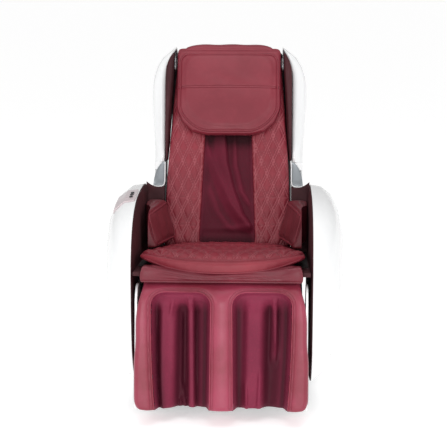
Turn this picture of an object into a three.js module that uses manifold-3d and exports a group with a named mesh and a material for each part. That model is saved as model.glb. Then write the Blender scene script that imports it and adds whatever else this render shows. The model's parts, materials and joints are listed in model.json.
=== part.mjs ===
// Upright electric massage chair: two rounded arm pods on a low steel base, a reclining backrest
// with a massage carriage inside it, and a leg rest with two calf troughs that swings up.
// Millimetres, +Z up. The chair faces -Y and the origin is on the floor under its middle.
import * as THREE from 'three';
import { mergeVertices } from 'three/addons/utils/BufferGeometryUtils.js';
import Module from 'manifold-3d';

const wasm = await Module();
wasm.setup();

// Arm pods
const podRim = 273;
const podBulge = 104;
const podFront = -320;
const podRear = 380;
const podFloor = 49;
const podTop = 641;
const podWidest = 410;
const podWall = 4;
const linerInner = 264.5;
const linerOuter = 272.6;

// Backrest, hinged low between the pods
const backPivotY = 190;
const backPivotZ = 352;
const backTilt = 22.3;
const backTop = 745;
const padFront = -70;
const padRear = -26;
const railInner = 150;
const railOuter = 165;
const leverRadius = 90;
const leverSwing = 35;

// Leg rest, hinged under the front of the seat
const legPivotY = -290;
const legPivotZ = 352;
const legTilt = 9;
const legRound = 72;
const legLength = 316;
const legHalf = 262;
const lugRadius = 92;
const lugSwing = 80;
const lugRest = -40.2;

// Seat
const seatHalf = 249;
const seatFront = -345;
const seatRear = 128;
const seatThick = 27;
const seatSlope = 0.1;

// Base
const railFrom = 195;
const railTo = 235;
const baseTop = 62;
const footHeight = 22;
const plateInner = 205.5;
const plateOuter = 211.5;

const gap = 0.4;
const degree = Math.PI / 180;

const colours = {
  whiteShell: ['#f4f3f2', 0.22, 0],
  darkLiner: ['#4a1a20', 0.6, 0],
  leather: ['#9a4a54', 0.45, 0],
  quilt: ['#964450', 0.5, 0],
  curtain: ['#6a2a3c', 0.75, 0],
  silver: ['#a8b0b6', 0.35, 0.8],
  speaker: ['#26262a', 0.5, 0.3],
  steel: ['#2b2d30', 0.5, 0.6],
  brightSteel: ['#b9bcc0', 0.3, 1],
  blackPlastic: ['#1f2022', 0.55, 0],
  panel: ['#c9b6ba', 0.3, 0.1],
  rubber: ['#2a2a2b', 0.85, 0],
  board: ['#8a6a48', 0.8, 0],
  roller: ['#d8d2c4', 0.5, 0],
};

const chair = new THREE.Group();
const backrest = new THREE.Group();
const legRest = new THREE.Group();

function paint(kind) {
  const [colour, roughness, metalness] = colours[kind];
  return new THREE.MeshStandardMaterial({ color: colour, roughness, metalness });
}

function place(parent, name, geometry, kind, x = 0, y = 0, z = 0) {
  const mesh = new THREE.Mesh(geometry, paint(kind));
  mesh.name = name;
  mesh.position.set(x, y, z);
  parent.add(mesh);
  return mesh;
}

// Geometry helpers. Outlines are lists of [u, v], or [u, v, r] where a corner is rounded.

function welded(geometry) {
  const bare = geometry.clone();
  for (const name of Object.keys(bare.attributes)) {
    if (name !== 'position') {
      bare.deleteAttribute(name);
    }
  }
  return mergeVertices(bare, 1e-3);
}

function volumeOf(geometry) {
  const p = geometry.attributes.position;
  const index = geometry.index.array;
  const a = new THREE.Vector3();
  const b = new THREE.Vector3();
  const c = new THREE.Vector3();
  let volume = 0;
  for (let i = 0; i < index.length; i += 3) {
    a.fromBufferAttribute(p, index[i]);
    b.fromBufferAttribute(p, index[i + 1]);
    c.fromBufferAttribute(p, index[i + 2]);
    volume += a.dot(b.cross(c)) / 6;
  }
  return volume;
}

// One closed mesh whose faces point out, whichever way it was mirrored or turned.
function closed(geometry) {
  const mesh = welded(geometry);
  const kept = [];
  const index = mesh.index.array;
  for (let i = 0; i < index.length; i += 3) {
    const [a, b, c] = [index[i], index[i + 1], index[i + 2]];
    if (a !== b && b !== c && c !== a) {
      kept.push(a, b, c);
    }
  }
  mesh.setIndex(kept);
  if (volumeOf(mesh) < 0) {
    for (let i = 0; i < kept.length; i += 3) {
      [kept[i + 1], kept[i + 2]] = [kept[i + 2], kept[i + 1]];
    }
    mesh.setIndex(kept);
  }
  return mesh;
}

function toSolid(geometry) {
  const mesh = closed(geometry);
  return new wasm.Manifold(new wasm.Mesh({
    numProp: 3,
    vertProperties: new Float32Array(mesh.attributes.position.array),
    triVerts: new Uint32Array(mesh.index.array),
  }));
}

function fromSolid(solid) {
  const mesh = solid.getMesh();
  const geometry = new THREE.BufferGeometry();
  geometry.setAttribute('position', new THREE.BufferAttribute(new Float32Array(mesh.vertProperties), 3));
  geometry.setIndex(new THREE.BufferAttribute(new Uint32Array(mesh.triVerts), 1));
  return geometry;
}

function join(first, ...others) {
  return fromSolid(others.reduce((sum, other) => sum.add(toSolid(other)), toSolid(first)));
}

function cut(first, ...others) {
  return fromSolid(others.reduce((rest, other) => rest.subtract(toSolid(other)), toSolid(first)));
}

function common(first, second) {
  return fromSolid(toSolid(first).intersect(toSolid(second)));
}

function reshape(geometry, change) {
  const mesh = welded(geometry);
  const p = mesh.attributes.position;
  const v = new THREE.Vector3();
  for (let i = 0; i < p.count; i += 1) {
    v.fromBufferAttribute(p, i);
    change(v);
    p.setXYZ(i, v.x, v.y, v.z);
  }
  return closed(mesh);
}

function mirrored(geometry) {
  return reshape(geometry, (v) => { v.x = -v.x; });
}

function sided(geometry, side) {
  return side < 0 ? mirrored(geometry) : closed(geometry);
}

function box(x0, x1, y0, y1, z0, z1) {
  const geometry = new THREE.BoxGeometry(x1 - x0, y1 - y0, z1 - z0);
  return closed(geometry.translate((x0 + x1) / 2, (y0 + y1) / 2, (z0 + z1) / 2));
}

function rodX(radius, x0, x1, y, z, segments = 14) {
  const geometry = new THREE.CylinderGeometry(radius, radius, x1 - x0, segments);
  return closed(geometry.rotateZ(Math.PI / 2).translate((x0 + x1) / 2, y, z));
}

function rodZ(radius, z0, z1, x, y, segments = 12) {
  const geometry = new THREE.CylinderGeometry(radius, radius, z1 - z0, segments);
  return closed(geometry.rotateX(Math.PI / 2).translate(x, y, (z0 + z1) / 2));
}

function outlineShape(corners, steps) {
  const shape = new THREE.Shape();
  const count = corners.length;
  for (let i = 0; i < count; i += 1) {
    const [u, v, r = 0] = corners[i];
    const here = new THREE.Vector2(u, v);
    const before = new THREE.Vector2(...corners[(i + count - 1) % count].slice(0, 2)).sub(here);
    const after = new THREE.Vector2(...corners[(i + 1) % count].slice(0, 2)).sub(here);
    const from = before.setLength(r).add(here);
    const to = after.setLength(r).add(here);
    for (let k = 0; k <= (r ? steps : 0); k += 1) {
      const t = r ? k / steps : 0;
      const x = (1 - t) ** 2 * from.x + 2 * t * (1 - t) * u + t * t * to.x;
      const y = (1 - t) ** 2 * from.y + 2 * t * (1 - t) * v + t * t * to.y;
      if (i === 0 && k === 0) {
        shape.moveTo(x, y);
      } else {
        shape.lineTo(x, y);
      }
    }
  }
  shape.closePath();
  return shape;
}

// A plate of an outline: along X the outline is (y, z), along Y it is (x, z), along Z it is (x, y).
function plate(axis, corners, from, to, options = {}) {
  const { round = 0, layers = 1, steps = 3, roundSteps = 2 } = options;
  const usable = corners.map(([u, v, r = 0]) => [u, v, r > 1.6 * round ? r : 0]);
  const geometry = new THREE.ExtrudeGeometry(outlineShape(usable, steps), {
    depth: to - from - 2 * round,
    steps: layers,
    bevelEnabled: round > 0,
    bevelThickness: round,
    bevelSize: round,
    bevelOffset: -round,
    bevelSegments: roundSteps,
  });
  geometry.translate(0, 0, from + round);
  const axes = {
    X: [[0, 1, 0], [0, 0, 1], [1, 0, 0]],
    Y: [[1, 0, 0], [0, 0, 1], [0, 1, 0]],
    Z: [[1, 0, 0], [0, 1, 0], [0, 0, 1]],
  }[axis].map((vector) => new THREE.Vector3(...vector));
  return closed(geometry.applyMatrix4(new THREE.Matrix4().makeBasis(...axes)));
}

function signedPower(value, power) {
  return Math.sign(value) * Math.abs(value) ** power;
}

function mix(a, b, t) {
  return a + (b - a) * Math.min(1, Math.max(0, t));
}

// Through (position, value) pairs, straight between them.
function along(table, at) {
  for (let i = 1; i < table.length; i += 1) {
    if (at <= table[i][0]) {
      const [from, to] = [table[i - 1], table[i]];
      return mix(from[1], to[1], (at - from[0]) / (to[0] - from[0]));
    }
  }
  return table[table.length - 1][1];
}

// The arm pods

// A solid pod: flat at the rim plane and crowned outwards, fuller above than below.
function podSolid(grow, count = 36, rings = 5) {
  const profile = [new THREE.Vector2(0, 0)];
  for (let k = 0; k <= rings; k += 1) {
    const turn = (k / rings) * Math.PI / 2;
    const rise = k === rings ? 1 : Math.sin(turn) ** 0.9;
    profile.push(new THREE.Vector2(k === rings ? 0 : Math.cos(turn), rise));
  }
  const middleY = (podFront + podRear) / 2;
  const middleZ = (podFloor + podTop) / 2;
  const halfY = (podRear - podFront) / 2 + grow;
  const halfZ = (podTop - podFloor) / 2 + grow;
  const crown = (rise, power) => Math.max(0, 1 - rise ** power) ** (1 / power);
  const lathe = new THREE.LatheGeometry(profile, count);
  return reshape(lathe, (v) => {
    const radius = Math.hypot(v.x, v.z);
    const turn = Math.atan2(v.x, v.z);
    const alongY = signedPower(Math.sin(turn), 2 / 3);
    const alongZ = signedPower(Math.cos(turn), 2 / 3);
    const edgeZ = middleZ + halfZ * alongZ - podWidest;
    const flat = v.y < 1e-6;
    const scaleY = flat ? radius : crown(v.y, 2.2);
    const scaleZ = flat ? radius : crown(v.y, edgeZ > 0 ? 2.7 : 1.9);
    const rise = v.y;
    v.y = middleY + halfY * alongY * scaleY;
    v.z = podWidest + edgeZ * scaleZ;
    v.x = podRim + rise * (podBulge + grow);
  });
}

function armShell(side) {
  const inner = podSolid(-podWall).translate(-0.01, 0, 0);
  const mouth = box(podRim - 1, podRim + 1, podFront + 90, podRear - 90, podFloor + 90, podTop - 90);
  return sided(cut(podSolid(0), inner, mouth), side);
}

function armLiner(side) {
  const corners = [];
  for (let k = 0; k < 30; k += 1) {
    const turn = (k / 30) * Math.PI * 2;
    const y = (podFront + podRear) / 2 + (348 - 1) * signedPower(Math.cos(turn), 2 / 3);
    const z = (podFloor + podTop) / 2 + (294 - 1) * signedPower(Math.sin(turn), 2 / 3);
    corners.push([y, z]);
  }
  return sided(plate('X', corners, linerInner, linerOuter, { round: 2.5, roundSteps: 1 }), side);
}

// A wedge of padding on the liner, thick where it meets the backrest and thin at its front edge.
function hipPad(side) {
  const corners = [[-75, 474, 14], [142, 456, 10], [186, 566, 16], [166, 580, 14], [-60, 580, 16]];
  const from = linerInner - gap - 82;
  const pad = plate('X', corners, from, linerInner - gap, { round: 9 });
  return sided(reshape(pad, (v) => {
    const front = mix(48, 20, (v.z - 460) / 120);
    const thick = mix(front, 82, (v.y + 75) / 215);
    v.x = linerInner - gap - ((linerInner - gap - v.x) * thick) / 82;
  }), side);
}

// The remote panel is let into the top of one pod.

const keyX = -291;
const keyTilt = 9;
const keyRadius = 5.6;
const keyRows = [-88, -64, -40];

function podHeight(x, y) {
  const rise = (Math.abs(x) - podRim) / podBulge;
  const halfY = (podRear - podFront) / 2;
  const sideways = Math.abs(y - (podFront + podRear) / 2) / halfY;
  const edge = (podFloor + podTop) / 2 + ((podTop - podFloor) / 2) * (1 - sideways ** 3) ** (1 / 3);
  return podWidest + (edge - podWidest) * (1 - rise ** 2.7) ** (1 / 2.7);
}

function keySolid(radius, from, to, y) {
  const geometry = new THREE.CylinderGeometry(radius, radius, to - from, 16);
  geometry.rotateX(Math.PI / 2).translate(0, 0, (from + to) / 2);
  geometry.rotateY(-keyTilt * degree).translate(keyX, y, podHeight(keyX, y));
  return closed(geometry);
}

function controlPanel() {
  const blank = plate('Z', [[-345, -122, 12], [-277, -122, 6], [-277, 12, 6], [-345, 12, 12]], 560, 660);
  const patch = cut(common(mirrored(podSolid(4.6)), blank), mirrored(podSolid(gap)));
  return cut(patch, ...keyRows.map((y) => keySolid(keyRadius + 0.5, -8, 12, y)));
}

// The base

function baseFrame() {
  const parts = [];
  for (const side of [-1, 1]) {
    parts.push(sided(box(railFrom, railTo, -215, 440, footHeight + gap, baseTop), side));
    parts.push(sided(rodX(6, railTo - 1, 258, 420, 32, 16), side));
    parts.push(sided(rodX(9, 255, 259, 420, 32, 16), side));
  }
  for (const y of [-210, 60, 330]) {
    parts.push(box(-260.5, 260.5, y, y + 40, 30, baseTop));
  }
  parts.push(box(-railFrom - 1, railFrom + 1, -172, 332, 58, baseTop));
  parts.push(box(60, 130, -112, -104, baseTop - 1, 302));
  parts.push(box(-35, 35, 98, 106, baseTop - 1, 376));
  return join(...parts);
}

function sidePlate(side) {
  const corners = [
    [-213, baseTop + gap], [-213, 240, 20], [-232, 334, 10], [-308, 334, 17.9], [-308, 370, 17.9],
    [-222, 370, 16], [-190, 424, 8], [128, 392, 20], [224, 392, 34], [224, 250, 20], [212, baseTop + gap],
  ];
  const sheet = plate('X', corners, plateInner, plateOuter);
  const hole = rodX(12.8, plateInner - 1, plateOuter + 1, backPivotY, backPivotZ, 18);
  const window1 = plate('X', [[-150, 110, 24], [150, 110, 24], [150, 250, 24], [-150, 250, 24]],
    plateInner - 1, plateOuter + 1);
  const axle = rodX(8, plateOuter - 1, 240, legPivotY, legPivotZ);
  return sided(join(cut(sheet, hole, window1), axle), side);
}

function seatBottom(y) {
  return 461 - (y - seatFront) * seatSlope;
}

function seatDeck() {
  const front = seatFront + 142;
  const rear = seatRear;
  return plate('X', [
    [front, seatBottom(front) - 20 - gap], [rear, seatBottom(rear) - 20 - gap],
    [rear, seatBottom(rear) - gap], [front, seatBottom(front) - gap],
  ], -260.5, 260.5);
}

function seatApron() {
  const rear = seatFront + 140;
  return plate('X', [
    [-345, 430, 6], [rear, 430], [rear, seatBottom(rear) - gap],
    [seatFront, seatBottom(seatFront) - gap, 5], [-353, 452, 5], [-353, 438, 5],
  ], -242, 242, { round: 4, roundSteps: 1 });
}

function seatCushion() {
  const corners = [
    [-seatHalf, -252], [-150, -328, 50], [0, -350, 80], [150, -328, 50], [seatHalf, -252],
    [241, -80, 60], [228, seatRear, 24], [-228, seatRear, 24], [-241, -80, 60],
  ];
  const pad = plate('Z', corners, 0, seatThick, { round: 8 });
  return reshape(pad, (v) => { v.z += seatBottom(v.y); });
}

function foot() {
  const profile = [[0, 0], [20, 0], [22, 3], [18, footHeight], [0, footHeight]];
  const lathe = new THREE.LatheGeometry(profile.map((p) => new THREE.Vector2(...p)), 14);
  return closed(lathe.rotateX(Math.PI / 2));
}

function wheel() {
  const profile = [[6.5, -8], [22, -8], [28, -4], [28, 4], [22, 8], [6.5, 8], [6.5, -8]];
  const lathe = new THREE.LatheGeometry(profile.map((p) => new THREE.Vector2(...p)), 18);
  return closed(lathe.rotateZ(Math.PI / 2));
}

const coverFront = 262;
const coverRear = 448;
const switchX = 80;
const switchZ = 118;

function rearCover() {
  const outline = (inset) => [
    [coverFront, baseTop + gap], [coverRear - inset, baseTop + gap, 0],
    [coverRear - inset, 296 - inset, 30], [coverFront, 232 - inset],
  ];
  const outer = plate('X', outline(0), -254, 254, { round: 5 });
  const front = plate('X', [[240, 20], [coverFront + 1, 20], [coverFront + 1, 300], [240, 300]], -300, 300);
  const inner = plate('X', outline(4).map(([y, z, r]) => [y - 8 * (y < 300), z - 12 * (z < 70), r]), -249, 249);
  const opening = box(switchX - 10.8, switchX + 10.8, coverRear - 12, coverRear + 2, switchZ - 15.2, switchZ + 15.2);
  const inlet = box(118, 156, coverRear - 24, coverRear + 2, 100, 136);
  const socket = box(123, 151, coverRear - 20, coverRear + 4, 107, 129);
  const pins = [130, 137, 144].map((x) => box(x - 1.5, x + 1.5, coverRear - 22, coverRear - 6, 115, 121));
  return join(cut(join(cut(outer, inner, front), inlet), opening, socket), ...pins);
}

function powerSwitch() {
  const corners = [[-6, -13.6, 3], [4, -13.6, 1], [2.5, 0, 3], [4, 13.6, 1], [-6, 13.6, 3]];
  return plate('X', corners, -9.8, 9.8);
}

// The drives. Each rod ends in a slotted yoke that a cross pin slides in.

function actuatorBody(length, bore) {
  const profile = [
    [0, 0], [22, 0], [26, 4], [26, length - 8], [18, length], [bore, length], [bore, 14], [0, 14],
  ];
  const lathe = new THREE.LatheGeometry(profile.map((p) => new THREE.Vector2(...p)), 16);
  const motor = new THREE.CylinderGeometry(20, 20, 74, 14).translate(0, 50, -50);
  const gearbox = new THREE.BoxGeometry(40, 34, 76).translate(0, 26, -28);
  const bored = new THREE.CylinderGeometry(bore, bore, length, 14).translate(0, 14 + length / 2, 0);
  return cut(join(lathe, motor, gearbox), bored);
}

function actuatorRod(radius, length, slotHalf, slotLow, slotHigh, thick) {
  const shaft = new THREE.CylinderGeometry(radius, radius, length, 12).translate(0, -length / 2 - 14, 0);
  const wall = 6.5;
  const yoke = plate('X', [
    [-slotHalf - wall - 4, slotLow - wall, 6], [slotHalf + wall, slotLow - wall, 8],
    [slotHalf + wall, slotHigh + wall, 8], [-slotHalf - wall - 4, slotHigh + wall, 6],
  ], -thick / 2, thick / 2);
  const slot = plate('X', [
    [-slotHalf, slotLow, 4], [slotHalf, slotLow, 4], [slotHalf, slotHigh, 4], [-slotHalf, slotHigh, 4],
  ], -thick, thick);
  return cut(join(yoke, shaft), slot);
}

// The backrest, in its own frame: origin on the hinge, +Z up along the back, -Y towards the sitter.

const padHalf = [[0, 212], [100, 211], [290, 205], [400, 198], [520, 190], [640, 181], [720, 176]];
const shellOuter = [
  [60, 248], [260, 249], [400, 251], [480, 256], [540, 260.5], [580, 262.5], [620, 261.5], [650, 257.5],
  [675, 250.5], [695, 241], [711, 230.5], [724, 219.5], [735, 206.5], [745, 190],
];

function narrowed(geometry, table, half) {
  return reshape(geometry, (v) => { v.x *= along(table, v.z) / half; });
}

function backCushion() {
  const corners = [[-212, 46, 30], [212, 46, 30], [212, 722, 40], [-212, 722, 40]];
  const pad = plate('Y', corners, padFront, padRear, { round: 12 });
  const sliced = [140, 240, 340, 440, 540, 640].reduce(
    (rest, z) => join(common(rest, box(-300, 300, -200, 100, -50, z)), common(rest, box(-300, 300, -200, 100, z, 900))),
    pad,
  );
  const slot = box(-91, 91, padFront - 5, padRear + 5, 64, 660);
  return cut(narrowed(sliced, padHalf, 212), slot);
}

function backCurtain() {
  const pad = plate('Y', [[-90, 66, 6], [90, 66, 6], [90, 658, 6], [-90, 658, 6]], -65, -59);
  return reshape(pad, (v) => { v.x *= mix(1, 0.9, (v.z - 100) / 400); });
}

function headPillow() {
  const corners = [[-174, 429, 96], [174, 429, 96], [174, 728, 17], [-174, 728, 17]];
  const pad = plate('Y', corners, -103, padFront - gap, { round: 10 });
  const flap = plate('X', [
    [-98, 712], [-76, 712], [-76, 733, 8], [-64, 743, 6], [62, 743], [62, 748.5], [-76, 748.5, 14], [-98, 726, 8],
  ], -156, 156);
  return join(pad, flap);
}

// A half-tube beside the pad, white, bent inwards towards the top of the chair.
function shellSolid(inset) {
  const corners = [[214 - 6 * inset, -46 + inset, 14], [256 - inset, -34 + inset, 28], [256 - inset, 76 - inset, 34],
    [214 - 6 * inset, 90 - inset, 8]];
  const half = plate('Z', corners, 60 + inset, backTop - inset, { layers: 22 });
  return reshape(half, (v) => {
    const outer = along(shellOuter, v.z);
    const shift = v.z > 640 ? 34 * ((v.z - 640) / (backTop - 640)) ** 1.6 : 0;
    const inner = 214 - shift;
    const front = along([[60, 0], [420, 0], [700, -26], [745, -10]], v.z);
    v.x = inner + ((v.x - 214) / 42) * (outer - inner);
    v.y += front * (1 - (v.y + 46) / 136);
  });
}

function backShell(side) {
  return sided(cut(shellSolid(0), shellSolid(4), trimBlock(0.5)), side);
}

// The bright trim sits in a step in the shell's outer front corner, above the armrest.
function trimBlock(grow) {
  const corners = [[-80, 262 - grow], [-20 + grow, 262 - grow], [-20 + grow, 346 + grow, 12], [-80, 346 + grow, 12]];
  return plate('X', corners, 204, 274);
}

function trim(side) {
  const corners = [[-50, 262], [-20, 262], [-20, 346], [-44, 346]];
  const blank = plate('X', corners, 212, 251, { layers: 3 });
  const slices = [285, 305, 325, 338].reduce((rest, z) => (
    join(common(rest, box(0, 400, -90, 90, 0, z)), common(rest, box(0, 400, -90, 90, z, 900)))), blank);
  return sided(reshape(slices, (v) => {
    const outer = along([[262, 251], [285, 249], [305, 245], [325, 237], [338, 229], [346, 220]], v.z);
    v.x = 212 + ((v.x - 212) / 39) * (outer - 212);
  }), side);
}

function wing(side) {
  const corners = [
    [-36, 352], [-22, 352], [-22, 716, 16], [-92, 722, 20], [-124, 690, 24], [-122, 600, 50], [-84, 430, 40],
  ];
  const blade = plate('X', corners, 190, 213.4, { round: 5 });
  return sided(reshape(blade, (v) => {
    const inner = along([[340, 203], [520, 197], [640, 188], [725, 183]], v.z);
    const shift = v.z > 640 ? 34 * ((v.z - 640) / (backTop - 640)) ** 1.6 : 0;
    const outer = 213.4 - 1.3 * shift;
    v.x = inner + ((v.x - 190) / 23.4) * (outer - inner);
  }), side);
}

function speaker(side) {
  const dome = new THREE.SphereGeometry(1, 14, 8).scale(7, 15, 24);
  const flat = cut(dome, box(0, 30, -40, 40, -40, 40));
  return sided(flat, side);
}

function backRail(side) {
  const bar = box(railInner, railOuter, -20, 24, -24, 700);
  const channel = box(railInner - 1, railOuter - 4, -15, 19, 40, 680);
  const hole = rodX(12.6, railInner - 1, railOuter + 1, 0, 0, 18);
  return sided(cut(bar, channel, hole), side);
}

function crossbarTop() {
  const bar = box(-railInner + gap, railInner - gap, -19, 23, 650, 684);
  const hollow = box(-railInner - 2, railInner + 2, -15, 19, 654, 680);
  return cut(bar, hollow);
}

function reclineShaft() {
  const parts = [rodX(12, -214, 214, 0, 0, 18)];
  const down = new THREE.Matrix4().makeRotationX((backTilt + leverSwing / 2) * degree);
  for (const x of [78.5, 106.5]) {
    const lever = plate('X', [[-15, -106, 12], [15, -106, 12], [18, 16, 16], [-18, 16, 16]], x, x + 5.5);
    parts.push(lever.applyMatrix4(down));
  }
  const pin = rodX(5, 81, 110, 0, -leverRadius);
  parts.push(pin.applyMatrix4(down));
  return join(...parts);
}

function backCover() {
  const outer = plate('X', [[-24, 4], [92, 4, 30], [112, 200, 160], [96, 742, 20], [-24, 742]], -212.5, 212.5,
    { round: 8 });
  const inner = plate('X', [[-60, 8], [87, 8, 28], [107, 200, 156], [91, 738, 18], [-60, 738]], -208, 208);
  const side = box(-300, 300, -60, 60, -60, 700);
  const front = box(-300, 300, -60, -15, 600, 900);
  const shell = cut(outer, inner, side, front);
  const vents = [];
  for (let row = 0; row < 8; row += 1) {
    vents.push(box(-90, 90, 80, 130, 130 + row * 16, 136 + row * 16));
  }
  const narrow = reshape(cut(shell, ...vents), (v) => {
    const room = Math.min(212.5, 213.6 - (v.z > 640 ? 42 * ((v.z - 640) / (backTop - 640)) ** 1.6 : 0));
    v.x *= Math.min(1, room / 212.5);
  });
  return narrow;
}

// The massage carriage rides between the rails and carries two rocking arms with two rollers each.

const carriageLow = 96;

function massageCarriage() {
  const body = box(-railInner + 2, railInner - 2, 12, 46, 0, 116);
  const hollow = box(-120, 120, 20, 60, 14, 102);
  const guides = [-1, 1].map((side) => sided(box(railInner - 3, railOuter - 6, -8, 16, 22, 94), side));
  const ears = [-1, 1].flatMap((side) => [34, 58].map((x) => (
    sided(plate('X', [[-28, 46, 12], [14, 40], [14, 76], [-28, 70, 12]], x, x + 4), side))));
  const pins = [-1, 1].map((side) => sided(rodX(4, 35, 60, -18, 58), side));
  return join(cut(body, hollow), ...guides, ...ears, ...pins);
}

function massageArm(side) {
  const link = plate('X', [
    [-14, -56, 6], [0, -56, 6], [10, 0, 14], [0, 56, 6], [-14, 56, 6], [-6, 0, 14],
  ], 41, 55, { steps: 5 });
  const hub = rodX(10, 41, 55, 0, 0, 18);
  const bore = rodX(4.4, 30, 70, 0, 0, 14);
  const axles = [-48, 48].map((z) => rodX(4, 50, 82, -6, z, 14));
  return sided(join(cut(join(link, hub), bore), ...axles), side);
}

function massageRoller() {
  const profile = [
    [4.4, -11], [18, -11], [24, -5], [24, 5], [18, 11], [4.4, 11], [4.4, -11],
  ];
  const lathe = new THREE.LatheGeometry(profile.map((p) => new THREE.Vector2(...p)), 16);
  return closed(lathe.rotateZ(Math.PI / 2));
}

// The leg rest, in its own frame: origin on the hinge, -Z down towards the ankles, -Y to the front.

const troughInner = 31;
const troughOuter = 203;
const bolsterInner = 213;

function roundedTop(front, rear, bottom, radius) {
  const corners = [];
  const start = Math.acos(Math.min(1, rear / radius));
  const end = Math.PI - Math.acos(Math.min(1, -front / radius));
  for (let k = 0; k <= 11; k += 1) {
    const turn = mix(start, end, k / 11);
    corners.push([radius * Math.cos(turn), radius * Math.sin(turn)]);
  }
  corners.push([front, bottom, 12], [rear, bottom, 12]);
  return corners;
}

function legBolster(side) {
  const block = plate('X', roundedTop(-legRound, 44, -legLength, legRound), bolsterInner, 254.6, { round: 9 });
  const hole = rodX(8.6, bolsterInner - 2, 241, 0, 0, 20);
  return sided(cut(block, hole), side);
}

function legDivider() {
  const corners = [[-legRound, -legLength, 14], [10, -legLength, 10], [10, 20, 10], [-legRound + 6, 20, 22]];
  return plate('X', corners, -troughInner, troughInner, { round: 12 });
}

function topBand() {
  const corners = [];
  for (let k = 0; k <= 12; k += 1) {
    const turn = mix(52, 142, k / 12) * degree;
    corners.push([legRound * Math.cos(turn), legRound * Math.sin(turn)]);
  }
  corners.push([-57, 42], [46, 42]);
  return plate('X', corners, -troughOuter, troughOuter);
}

function calfPad(side) {
  const corners = [[15, -legLength + 6, 8], [49, -legLength + 6, 4], [49, 20, 4], [15, 20, 14]];
  const pad = plate('X', corners, troughInner + 1, troughOuter - 1, { round: 6 });
  const layers = [60, 88, 117, 146, 174].reduce(
    (rest, x) => join(common(rest, box(-10, x, -90, 90, -400, 90)), common(rest, box(x, 300, -90, 90, -400, 90))),
    pad,
  );
  return sided(reshape(layers, (v) => {
    const across = Math.abs(v.x - 117) / 85;
    v.y -= v.y < 30 ? 22 * across ** 3 : 0;
  }), side);
}

function legTray() {
  const parts = [box(-legHalf, legHalf, 50, 61, -legLength + 4, -26)];
  for (const side of [-1, 1]) {
    const cheek = plate('X', roundedTop(-62, 61, -legLength + 4, 61.5), 255.2, legHalf);
    parts.push(sided(cheek, side));
  }
  const pinAt = (lugRest + legTilt) * degree;
  const pinY = lugRadius * Math.cos(pinAt);
  const pinZ = lugRadius * Math.sin(pinAt);
  const slot = box(-9, 9, 40, 70, -110, -12);
  const plain = cut(join(...parts), slot);
  const lugs = [];
  for (const x of [-16.5, 10]) {
    lugs.push(plate('X', [[60, pinZ - 22], [pinY + 9, pinZ - 9, 7], [pinY + 9, pinZ + 9, 7], [60, pinZ + 20]], x, x + 6.5));
  }
  return join(plain, ...lugs, rodX(5, -15, 15, pinY, pinZ, 16));
}

// Assembly

backrest.position.set(0, backPivotY, backPivotZ);
backrest.rotation.x = -backTilt * degree;
legRest.position.set(0, legPivotY, legPivotZ);
legRest.rotation.x = -legTilt * degree;
chair.add(backrest, legRest);

place(chair, 'base_frame', baseFrame(), 'steel');
place(chair, 'seat_deck', seatDeck(), 'board');
place(chair, 'seat_apron', seatApron(), 'leather');
place(chair, 'seat_cushion', seatCushion(), 'quilt');
place(chair, 'control_panel', controlPanel(), 'panel');
place(chair, 'base_rear_cover', rearCover(), 'blackPlastic');
place(chair, 'control_box', plate('Z', [[42, -56, 6], [182, -56, 6], [182, 58, 6], [42, 58, 6]], baseTop + gap, 138,
  { round: 4 }), 'blackPlastic');
place(chair, 'air_pump', join(
  plate('Z', [[-182, -140, 12], [-56, -140, 12], [-56, 10, 12], [-182, 10, 12]], baseTop + gap, 138, { round: 5 }),
  rodZ(7, 137, 158, -150, -20),
  rodZ(7, 137, 158, -120, -20),
), 'blackPlastic');
for (const [name, side] of [['left', -1], ['right', 1]]) {
  place(chair, `side_plate_${name}`, sidePlate(side), 'steel');
  place(chair, `arm_shell_${name}`, armShell(side), 'whiteShell');
  place(chair, `arm_liner_${name}`, armLiner(side), 'darkLiner');
  place(chair, `hip_pad_${name}`, hipPad(side), 'leather');
  place(chair, `wheel_${name}`, wheel(), 'rubber', side * 245.4, 420, 32);
  place(chair, `foot_front_${name}`, foot(), 'rubber', side * 215, -185, 0);
  place(chair, `foot_rear_${name}`, foot(), 'rubber', side * 215, 350, 0);
  place(backrest, `back_rail_${name}`, backRail(side), 'steel');
  place(backrest, `back_shell_${name}`, backShell(side), 'whiteShell');
  place(backrest, `wing_${name}`, wing(side), 'darkLiner');
  place(backrest, `trim_${name}`, trim(side), 'silver');
  place(backrest, `speaker_${name}`, speaker(side), 'speaker', side * 183.8, -88, 676);
  place(backrest, `massage_arm_${name}`, massageArm(side), 'steel', 0, -18, carriageLow + 58);
  place(backrest, `massage_roller_upper_${name}`, massageRoller(), 'roller', side * 68, -24, carriageLow + 106);
  place(backrest, `massage_roller_lower_${name}`, massageRoller(), 'roller', side * 68, -24, carriageLow + 10);
  place(legRest, `leg_bolster_${name}`, legBolster(side), 'leather');
  place(legRest, `calf_pad_${name}`, calfPad(side), 'curtain');
}
keyRows.forEach((y, i) => {
  place(chair, `panel_key_${i + 1}`, keySolid(keyRadius, 2, 5.2, y), 'blackPlastic');
});
place(chair, 'power_switch', powerSwitch(), 'blackPlastic', switchX, coverRear - 3, switchZ);

place(backrest, 'recline_shaft', reclineShaft(), 'brightSteel');
place(backrest, 'back_crossbar_top', crossbarTop(), 'steel');
place(backrest, 'back_cover', backCover(), 'blackPlastic');
place(backrest, 'back_cushion', backCushion(), 'quilt');
place(backrest, 'back_curtain', backCurtain(), 'curtain');
place(backrest, 'head_pillow', headPillow(), 'leather');
place(backrest, 'massage_carriage', massageCarriage(), 'steel', 0, 0, carriageLow);

place(legRest, 'legrest_tray', legTray(), 'whiteShell');
place(legRest, 'leg_divider', legDivider(), 'leather');
place(legRest, 'leg_top_band', topBand(), 'leather');

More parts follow.
